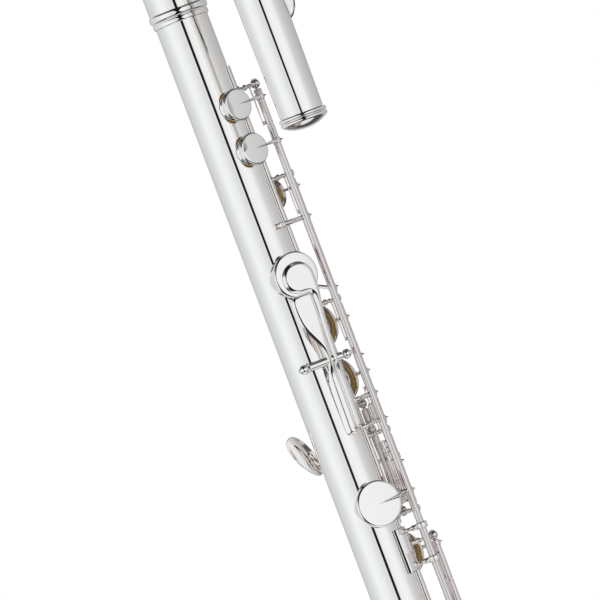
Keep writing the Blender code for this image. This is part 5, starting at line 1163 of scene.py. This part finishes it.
def thumb_plate(rows, rise, apex, thickness, bevel, roll):
    """A plate that goes up over the barrel: its height follows the rise, and below it is vaulted left of an apex."""
    up_row, out_row = soft(rise, 3.0, 8).T

    def face(side, up):
        vault = 8.0 - np.sqrt(64.0 - np.clip(apex - side, 0.0, 6.0) ** 2)
        return np.interp(up, up_row, out_row) - vault * np.clip((-5.0 - up) / 6.0, 0.0, 1.0)
    return leaf(thumb_place(), rows[:, :2], rows[:, 2:], face, thickness, bevel, roll)


def thumb_b_key():
    """The thumb B key: cup, barrel, and the teardrop plate that ends in a strip beside the tube."""
    rise = [(-60.0, STRIP_OUT + 0.6), (-6.5, STRIP_OUT + 0.6), (-1.6, STRAP_OUT + 0.8), (8.0, STRAP_OUT + 0.9),
            (33.0, CUP_TOP + 0.35), (60.0, CUP_TOP + 0.35)]
    grids = [cup(*THUMB_B), thumb_barrel(-THUMB_BARREL_HALF, THUMB_BORDER - GAP / 2),
             *thumb_plate(smooth(TEARDROP, 130), rise, 3.6, 1.25, 0.85, 0.7)]
    piece("thumb_b_key", opened(grids, "thumb_b_hinge"))
    piece("thumb_b_pad", opened([pad(*THUMB_B)], "thumb_b_hinge"))


def thumb_lever():
    """The B flat lever: a thick round touch that runs into a narrow strap, over its barrel and down."""
    angle = np.radians(np.linspace(90.0, 256.0, 22))
    left = np.stack([TOUCH_HALF[0] * np.cos(angle), TOUCH_UP + TOUCH_HALF[1] * np.sin(angle)], axis=-1)
    below = np.maximum(TOUCH_UP - left[:, 1], 0.0)
    right_side = np.where(left[:, 1] > TOUCH_UP, -left[:, 0], TOUCH_HALF[0] + 0.02 * below)
    rows = smooth([*np.column_stack([left, right_side, left[:, 1]]), *LEVER], 180)
    rise = [(-60.0, STRIP_OUT + 0.5), (-6.0, STRIP_OUT + 0.5), (-1.2, STRAP_OUT + 0.85), (8.0, STRAP_OUT + 1.0),
            (34.0, TOUCH_TOP), (60.0, TOUCH_TOP)]
    grids = [thumb_barrel(THUMB_BORDER + GAP / 2, THUMB_BARREL_HALF),
             *thumb_plate(rows, rise, 7.0, 1.65, 0.75, 1.05)]
    piece("thumb_b_flat_lever", opened(grids, "thumb_b_flat_hinge"))


def thumb_hardware():
    """Two posts and the cross pin of the thumb keys."""
    for name, way in (("thumb_left_post", -1.0), ("thumb_right_post", 1.0)):
        origin, side, up, out = seat(THUMB_TURN, THUMB_PIN[2], THUMB_HINGE_OUT)
        ball = origin + side * THUMB_BALL_SIDE * way
        line = ball * np.array([1.0, 1.0, 0.0])
        screw = pivot_screw(AXIS, 0.0, 1.0)
        screw = ball + screw[..., :1] * up + screw[..., 1:2] * out + screw[..., 2:] * side * way
        piece(name, [post(line, THUMB_PIN[2], TUBE_R + GAP - 0.28), screw])
    reach = THUMB_BALL_SIDE + STEEL_OVERHANG
    piece("thumb_steel", [cross_bar([(0.0, -reach), (STEEL_R, -reach), (STEEL_R, reach), (0.0, reach)])])


# Keys of the right hand and the foot

def front_key(name, line, hole, low, high, bends, extra=()):
    """An open-standing key of the front row, and its pad."""
    grids = [sleeve(line, low, high), cup(*hole), *held(line, hole, bends), *extra]
    piece(name + "_key", opened(grids, name + "_hinge"))
    piece(name + "_pad", opened([pad(*hole)], name + "_hinge"))


def right_hand_keys():
    """F sharp, F, E and D keys."""
    line = RIGHT_LINE
    front_key("f_sharp", line, F_SHARP, F_SHARP_TO_F + GAP / 2, below(F_SHARP_POST), RIGHT_BENDS,
              [catch(line, F_SHARP_POST, -20.7)])
    front_key("f", line, F, above(E_POST), F_SHARP_TO_F - GAP / 2, RIGHT_BENDS, [catch(line, E_POST, 16.8)])
    front_key("e", line, E, E_TO_D + GAP / 2, below(E_POST), RIGHT_BENDS, [catch(line, E_POST, -20.2)])
    front_key("d", line, D, above(D_POST), E_TO_D - GAP / 2, RIGHT_BENDS, [catch(line, D_POST, 16.0)])


ROLLER_R = 1.9
ROLLER_HALF = 5.5


def roller_fork(points, pin):
    """An arm that ends in a fork with the pin of a roller."""
    side = sideways(TOUCH_TURN)
    ear = side * (ROLLER_HALF + GAP + 0.8)
    back = np.array([0.0, -3.1, 0.0])
    nose = np.array([0.0, 0.9, 0.0])
    fork = [pin + ear + nose, pin + ear + back, pin - ear + back, pin - ear + nose]
    ends = (pin - ear * 1.12, pin + ear * 1.12)
    share = np.linspace(0.0, 1.0, 4)[:, None]
    return [bar(ends[0] + (ends[1] - ends[0]) * share, 0.5, facing=(0, 1, 0)),
            bar(even(soft(fork, 1.2, 6), 40), 0.8), bar(even(soft([*points, pin + back], 2.4, 6), 30), 1.1)]


def roller(name):
    """A barrel-shaped roller with eased ends, bored for its pin, on its own spin axis."""
    row = joint(name + "_spin")
    along = np.array(row["axis"], float)
    pin = np.array(row["pos_m"]) * 1000.0
    half, r = ROLLER_HALF, ROLLER_R
    profile = soft([(0.85, -half), (r - 0.45, -half), (r - 0.1, -half * 0.8), (r, 0.0), (r - 0.1, half * 0.8),
                    (r - 0.45, half), (0.85, half)], 0.5)
    profile = np.concatenate([profile, profile[:1]])
    piece(name, [revolved(profile, (pin, UP, np.cross(along, UP), along), 40)])


def foot_keys():
    """E flat, low C sharp and low C keys with the two rollers."""
    line = FOOT_LINE
    z = FOOT_E_FLAT[1] + 8.0
    lever = [line + UP * z, (15.6, 18.4, z), (9.0, 20.6, z - 1.0), (2.0, 21.0, z - 2.0)]
    grids = [sleeve(line, above(FOOT_MID_POST), below(FOOT_TOP_POST)), cup(*FOOT_E_FLAT),
             arm(line, FOOT_E_FLAT, FOOT_E_FLAT_BENDS), collar(line, FOOT_E_FLAT[1] + 0.2), collar(line, z),
             bent(lever, line, [1.2, 1.1, 1.0, 0.9]), catch(line, FOOT_TOP_POST, -15.2),
             *touch_dish(TOUCH_TURN, z - 2.6, (-3.0, 21.3), 9.0, 5.6, 0.9)]
    piece("foot_e_flat_key", grids)
    piece("foot_e_flat_pad", [pad(*FOOT_E_FLAT)])

    z = LOW_C_TOUCH - 4.4
    reach = [line + UP * z, (15.4, 18.0, z + 0.4), (9.0, 19.6, z + 2.0)]
    fork = roller_fork(reach, np.array([4.0, 22.6, LOW_C_TOUCH - 1.0]))
    front_key("foot_c_sharp", line, FOOT_C_SHARP, LOW_C_CUP + GAP / 2, LOW_C_TOUCH - GAP / 2, FRONT_BENDS,
              [*fork, collar(line, z)])
    z = LOW_C_TOUCH + 3.8
    reach = [line + UP * z, (15.4, 18.0, z + 0.4), (9.0, 19.6, z + 1.4)]
    fork = roller_fork(reach, np.array([4.0, 22.6, LOW_C_TOUCH + 5.6]))
    front_key("foot_c", line, FOOT_C, above(FOOT_LOW_POST), LOW_C_CUP - GAP / 2, FRONT_BENDS,
              [rod(line, FOOT_LOW_POST - STEEL_OVERHANG, FOOT_MID_POST + STEEL_OVERHANG),
               sleeve(line, LOW_C_TOUCH + GAP / 2, below(FOOT_MID_POST)), *fork, collar(line, z)])
    roller("foot_c_roller")
    roller("foot_c_sharp_roller")


# Head joint

HEAD_AXIS = outward(HEAD_TURN) * 2.0 * BEND_R
STRAIGHT = BEND_Z - HEAD_END_Z
TAPERED = math.pi * BEND_R + STRAIGHT


def head_radius(z):
    """The outer radius of the return leg at a height: it tapers from the bend's start to the crown end."""
    share = (math.pi * BEND_R + BEND_Z - z) / TAPERED
    return TUBE_R + (HEAD_END_R - TUBE_R) * share


def head_wall(inset, columns, rows):
    """One wall of the head: circles square to its axis, up the tenon, round the bend and down the leg."""
    turn = np.linspace(0.0, math.tau, columns + 1)
    side = sideways(HEAD_TURN)
    away = outward(HEAD_TURN)
    rings = []
    for kind, value in rows:
        if kind == "tenon":
            middle, ahead, radius = UP * value, UP, TUBE_R
        elif kind == "bend":
            middle = UP * (BEND_Z + BEND_R * math.sin(value)) + away * BEND_R * (1.0 - math.cos(value))
            ahead = UP * math.cos(value) + away * math.sin(value)
            radius = TUBE_R + (HEAD_END_R - TUBE_R) * value * BEND_R / TAPERED
        else:
            middle, ahead, radius = HEAD_AXIS + UP * value, -UP, head_radius(value)
        across = np.cross(ahead, side)
        rings.append(middle + (radius - inset) * (np.cos(turn)[:, None] * side + np.sin(turn)[:, None] * across))
    return np.stack(rings)


def mouth_hole(levels, turns):
    """Rings from a window on the return leg to the oval mouth hole, through the wall and back inside."""
    place = seat(EMBOUCHURE_TURN, EMBOUCHURE_Z, 0.0, HEAD_AXIS)
    across = np.radians(turns - EMBOUCHURE_TURN)
    ends = np.ones(len(levels) - 2)
    ring_turn = np.concatenate([across, across[-1] * ends, across[::-1], across[0] * ends, across[:1]])
    ring_z = np.concatenate([levels[0] + 0.0 * across, levels[1:-1], levels[-1] + 0.0 * across, levels[-2:0:-1],
                             levels[:1]])
    radius = head_radius(ring_z)
    side, up = radius * np.sin(ring_turn), ring_z - EMBOUCHURE_Z
    angle = np.arctan2(up / EMBOUCHURE_HALF[1], side / EMBOUCHURE_HALF[0])
    oval = np.stack([EMBOUCHURE_HALF[0] * np.cos(angle), EMBOUCHURE_HALF[1] * np.sin(angle)])
    rings = []
    for inset, shares in ((0.0, (0.0, 0.35, 0.7, 1.0)), (TUBE_WALL, (1.0, 0.7, 0.35, 0.0))):
        narrow = (radius - inset) / radius
        for share in shares:
            x = (side * (1.0 - share) + oval[0] * share) * (narrow * (1.0 - share) + share)
            y = up * (1.0 - share) + oval[1] * share
            at_radius = head_radius(y + EMBOUCHURE_Z) - inset
            rings.append(at(place, x, y, np.sqrt(at_radius ** 2 - x ** 2)))
    return np.stack(rings)


def head_tube():
    """The tenon, the U-bend and the tapered return leg, as one tube with the mouth hole."""
    columns = 120
    levels = EMBOUCHURE_Z + np.linspace(8.5, -8.5, 9)
    rows = [("tenon", z) for z in np.linspace(TENON_LOW, BEND_Z, 8)]
    rows += [("bend", angle) for angle in np.linspace(0.0, math.pi, 49)[1:-1]]
    rows += [("leg", z) for z in np.linspace(BEND_Z, levels[0], 6)]
    start = len(rows) - 1
    rows += [("leg", z) for z in levels[1:]]
    stop = len(rows) - 1
    rows += [("leg", z) for z in np.linspace(levels[-1], HEAD_END_Z, 10)[1:]]
    walls = [head_wall(inset, columns, rows) for inset in (0.0, TUBE_WALL)]
    ring_turns = HEAD_TURN + 90.0 - np.linspace(0.0, 360.0, columns + 1)
    middle = int(round((HEAD_TURN + 90.0 - EMBOUCHURE_TURN) % 360.0 / 360.0 * columns))
    first, last = middle - 13, middle + 13
    grids = []
    for wall in walls:
        grids += [wall[:start + 1], wall[stop:], wall[start:stop + 1, last:], wall[start:stop + 1, :first + 1]]
    turns = ring_turns[first:last + 1]
    turns = turns + 360.0 * np.round((EMBOUCHURE_TURN - turns) / 360.0)
    grids.append(mouth_hole(levels, turns))
    grids += [np.stack([walls[0][k], walls[1][k]]) for k in (0, -1)]
    piece("head_tube", grids)


def ferrule(name, axis, radius):
    """A ring where the bend meets a straight leg."""
    z = BEND_Z - 4.0
    inner = radius + 0.02
    profile = [(inner, z - 2.4), (inner + 0.6, z - 2.4), *bead(inner + 0.5, 0.45, z - 2.2, z - 1.0),
               *bead(inner + 0.6, 0.95, z - 0.9, z + 0.9), *bead(inner + 0.5, 0.45, z + 1.0, z + 2.2),
               (inner + 0.6, z + 2.4), (inner, z + 2.4), (inner, z - 2.4)]
    piece(name, [revolved(profile, standing(axis), 120)])


def lip_point(side, height, lift):
    """A place on the lip plate: an arc across, and a ridge that falls toward the head at both ends."""
    ridge = head_radius(EMBOUCHURE_Z) + LIP_CLEARANCE
    ridge = ridge + RISER_HEIGHT * (1.0 - 0.85 * (height / LIP_HALF[1]) ** 2)
    turn = side / LIP_BEND_R
    return (LIP_BEND_R + lift) * np.sin(turn), height, ridge + lift * np.cos(turn) - LIP_BEND_R * (1.0 - np.cos(turn))


def lip_plate():
    """The lip plate: an oval shell bent round the head, with the oval mouth hole and rolled edges."""
    angle = np.linspace(0.0, math.tau, 145)
    roll = [(0.0, 0.12), (0.0, 0.6), (0.006, 0.85), (0.02, 0.9), *((s, 0.9) for s in np.linspace(0.05, 0.95, 19)),
            (0.985, 0.85), (1.0, 0.62), (1.003, 0.45), (1.0, 0.25), (0.985, 0.05),
            *((s, 0.0) for s in np.linspace(0.95, 0.05, 19)), (0.015, 0.02), (0.0, 0.12)]
    place = seat(EMBOUCHURE_TURN, EMBOUCHURE_Z, 0.0, HEAD_AXIS)
    rings = []
    for share, lift in roll:
        half = [inner + (outer - inner) * share for inner, outer in zip(EMBOUCHURE_HALF, LIP_HALF)]
        rings.append(at(place, *lip_point(half[0] * np.cos(angle), half[1] * np.sin(angle), lift)))
    piece("lip_plate", [np.stack(rings)])


def riser():
    """The oval chimney between the head and the lip plate, flared toward both."""
    angle = np.linspace(0.0, math.tau, 97)
    place = seat(EMBOUCHURE_TURN, EMBOUCHURE_Z, 0.0, HEAD_AXIS)
    rings = []
    walls = [(0.8, 0.0, 1.7), (1.0, 0.25, 1.1), (1.0, 0.5, 0.9), (1.0, 0.8, 1.1), (1.0, 1.0, 1.6), (1.0, 1.0, 0.0),
             (1.0, 0.0, 0.0), (0.8, 0.0, 1.7)]
    for _, share, grow in walls:
        x = (EMBOUCHURE_HALF[0] + grow) * np.cos(angle)
        y = (EMBOUCHURE_HALF[1] + grow) * np.sin(angle)
        low = np.sqrt(head_radius(y + EMBOUCHURE_Z) ** 2 - x ** 2) + 0.01
        high = lip_point(x, y, 0.0)[2] - 0.02
        rings.append(at(place, x, y, low + (high - low) * share))
    piece("riser", [np.stack(rings)])


def crown():
    """The crown: two beads with a groove between them, a shallow dome, and a neck inside the head."""
    axis = standing(HEAD_AXIS)
    top = HEAD_END_Z - GAP
    inner = HEAD_END_R - TUBE_WALL - GAP
    rim = HEAD_END_R + 0.35
    shoulder = top - 4.0
    dome = [(rim * share, shoulder - 3.3 * (1.0 - share ** 2.4)) for share in np.linspace(0.0, 0.97, 16)]
    profile = [*dome, *bead(rim, 0.55, shoulder, shoulder + 1.7), (rim - 0.1, shoulder + 1.85),
               *bead(rim, 0.75, shoulder + 2.0, top), (inner, top), (inner, top + 5.0), (inner - 1.2, top + 5.0),
               (inner - 1.2, top - 1.8), (0.0, top - 1.8)]
    piece("crown", [revolved(profile, axis, 120)])
    bore = head_radius(CORK_Z) - TUBE_WALL - GAP
    low = CORK_Z - CORK_LENGTH
    ring = [(2.2, low), (bore - 0.3, low), (bore, low + 0.3), (bore, CORK_Z - 0.3), (bore - 0.3, CORK_Z),
            (2.2, CORK_Z), (2.2, low)]
    piece("stopper_cork", [revolved(ring, axis, 96)])
    plate = bore - 0.6
    screw = [(0.0, top - 4.0), (1.7, top - 4.0)]
    threads = np.arange(top - 3.5, low - 2.6, 0.35)
    screw += [(1.9 - 0.22 * (k % 2), z) for k, z in enumerate(threads)]
    screw += [(1.9, low - 2.0), (plate, low - 2.0), (plate, low - GAP), (1.9, low - GAP), (1.9, CORK_Z + GAP),
              (plate, CORK_Z + GAP), (plate, CORK_Z + 2.0), (plate - 0.3, CORK_Z + 2.3), (0.0, CORK_Z + 2.3)]
    piece("stopper_rod", [revolved(screw, axis, 48)])


# Studio and camera

def tone(level, warmth=0.0):
    """A grey that silver turns neutral, or warmer or cooler by an amount."""
    return (level * (0.958 + warmth), level, level * (1.028 - warmth * 0.5), 1.0)


SLIT_HALF = 4.4
SLIT_SPREAD = 0.36
CEILING = 0.16
WALLS = [(-180.0, tone(0.42, 0.05)), (-135.0, tone(0.58)), (-108.0, tone(0.69, -0.02)), (-80.0, tone(0.77, -0.02)),
         (-44.0, tone(0.98, -0.01)), (-18.0, tone(0.92, -0.01)), (5.0, tone(0.77, -0.01)), (35.0, tone(0.92)),
         (52.0, tone(0.97)), (70.0, tone(0.91)), (86.0, tone(0.70)), (115.0, tone(0.57, 0.01)),
         (140.0, tone(0.52, 0.03)), (180.0, tone(0.42, 0.05))]


def panorama(tree):
    """A white room: greyer behind the flute, dark above and below, with a dark slit round the camera."""
    place = node_of(tree, "ShaderNodeTexCoord")
    split = node_of(tree, "ShaderNodeSeparateXYZ")
    tree.links.new(place.outputs["Generated"], split.inputs["Vector"])
    back = calculated(tree, "MULTIPLY", split.outputs["Y"], -1.0)
    turn = calculated(tree, "ARCTAN2", split.outputs["X"], back)
    share = calculated(tree, "ADD", calculated(tree, "DIVIDE", turn, math.tau), 0.5)
    ramp = node_of(tree, "ShaderNodeValToRGB")
    tree.links.new(share, ramp.inputs["Fac"])
    stops = ramp.color_ramp.elements
    stops[0].position, stops[0].color = 0.0, WALLS[0][1]
    stops[1].position, stops[1].color = 1.0, WALLS[-1][1]
    for degrees, colour in WALLS[1:-1]:
        stops.new(0.5 + degrees / 360.0).color = colour

    # The slit: how far a direction lies beside the camera's, against a width that grows above and below it
    view, right = outward(VIEW_TURN), sideways(VIEW_TURN)
    ahead = calculated(tree, "ADD", calculated(tree, "MULTIPLY", split.outputs["X"], float(view[0])),
                       calculated(tree, "MULTIPLY", split.outputs["Y"], float(view[1])))
    beside = calculated(tree, "ADD", calculated(tree, "MULTIPLY", split.outputs["X"], float(right[0])),
                        calculated(tree, "MULTIPLY", split.outputs["Y"], float(right[1])))
    beside = calculated(tree, "ABSOLUTE", beside, 0.0)
    height = calculated(tree, "ABSOLUTE", split.outputs["Z"], 0.0)
    width = calculated(tree, "ADD", math.sin(math.radians(SLIT_HALF)),
                       calculated(tree, "MULTIPLY", height, SLIT_SPREAD))
    excess = calculated(tree, "SUBTRACT", beside, width)
    outside = compare(tree, excess, -0.012, 0.02)
    behind = compare(tree, ahead, 0.05, -0.05)
    lit = calculated(tree, "MAXIMUM", outside, behind)
    band = calculated(tree, "MULTIPLY", compare(tree, height, 0.60, 0.40), 1.0 - CEILING)
    level = calculated(tree, "MULTIPLY", lit, calculated(tree, "ADD", band, CEILING))
    room = node_of(tree, "ShaderNodeBackground")
    mix = node_of(tree, "ShaderNodeMix", data_type="RGBA")
    mix.inputs["A"].default_value = (0.008, 0.008, 0.010, 1.0)
    tree.links.new(level, mix.inputs["Factor"])
    tree.links.new(ramp.outputs["Color"], mix.inputs["B"])
    tree.links.new(mix.outputs["Result"], room.inputs["Color"])
    return room.outputs["Background"]


def plain(tree, colour):
    """A plain background shader."""
    made = node_of(tree, "ShaderNodeBackground")
    made.inputs["Color"].default_value = (*colour, 1.0)
    return made.outputs["Background"]


def mixed(tree, factor, first, second):
    """Two shaders mixed by a factor."""
    made = node_of(tree, "ShaderNodeMixShader")
    tree.links.new(factor, made.inputs["Fac"])
    tree.links.new(first, made.inputs[1])
    tree.links.new(second, made.inputs[2])
    return made.outputs["Shader"]


def studio():
    """A white studio: a plain soft light, and a backdrop that the camera, metal and glass see."""
    world = bpy.data.worlds.new("studio")
    bpy.context.scene.world = world
    world.use_nodes = True
    tree = world.node_tree
    tree.nodes.clear()
    path = node_of(tree, "ShaderNodeLightPath")
    backdrop = mixed(tree, path.outputs["Is Camera Ray"], panorama(tree), plain(tree, (1.0, 1.0, 1.0)))
    seen = calculated(tree, "ADD", path.outputs["Is Camera Ray"], path.outputs["Is Glossy Ray"])
    seen = calculated(tree, "ADD", seen, path.outputs["Is Transmission Ray"])
    out = node_of(tree, "ShaderNodeOutputWorld")
    shader = mixed(tree, calculated(tree, "MINIMUM", seen, 1.0), plain(tree, (0.92, 0.92, 0.92)), backdrop)
    tree.links.new(shader, out.inputs["Surface"])


def floor():
    """A plain pale floor under the foot's end."""
    half = 0.3
    mesh = bpy.data.meshes.new("floor")
    corners = [(-half, -half, 0.0), (half, -half, 0.0), (half, half, 0.0), (-half, half, 0.0)]
    mesh.from_pydata(corners, [], [(0, 1, 2, 3)])
    made = bpy.data.objects.new("floor", mesh)
    bpy.context.scene.collection.objects.link(made)
    mesh.materials.append(finish_material("floor_finish", (0.93, 0.93, 0.93), 0.7, 0.0)[0])


def camera():
    """The camera of the photograph: a long lens square to the flute, turned in the picture."""
    lens = bpy.data.cameras.new("camera")
    lens.sensor_width = 36.0
    lens.lens = 36.0 * VIEW_DISTANCE / PICTURE_WIDTH
    lens.clip_end = 50.0
    made = bpy.data.objects.new("camera", lens)
    bpy.context.scene.collection.objects.link(made)
    across, back = sideways(VIEW_TURN), outward(VIEW_TURN)
    tilt = math.radians(PICTURE_TILT)
    right = across * math.cos(tilt) - UP * math.sin(tilt)
    up = UP * math.cos(tilt) + across * math.sin(tilt)
    place = (across * VIEW_SIDE + UP * VIEW_HEIGHT + back * VIEW_DISTANCE) * 0.001
    rows = [(right[k], up[k], back[k], place[k]) for k in range(3)]
    made.matrix_world = Matrix((*rows, (0.0, 0.0, 0.0, 1.0)))
    bpy.context.scene.camera = made


bpy.context.scene.view_settings.view_transform = "Standard"
body_tube()
barrel()
foot_tube()
body_hardware()
foot_hardware()
trill_keys()
c_sharp_key()
b_flat_key()
a_key()
g_key()
g_sharp_key()
thumb_b_key()
thumb_lever()
thumb_hardware()
right_hand_keys()
foot_keys()
head_tube()
ferrule("tenon_ferrule", AXIS, TUBE_R)
ferrule("return_ferrule", HEAD_AXIS, head_radius(BEND_Z - 4.0))
lip_plate()
riser()
crown()
studio()
floor()
camera()
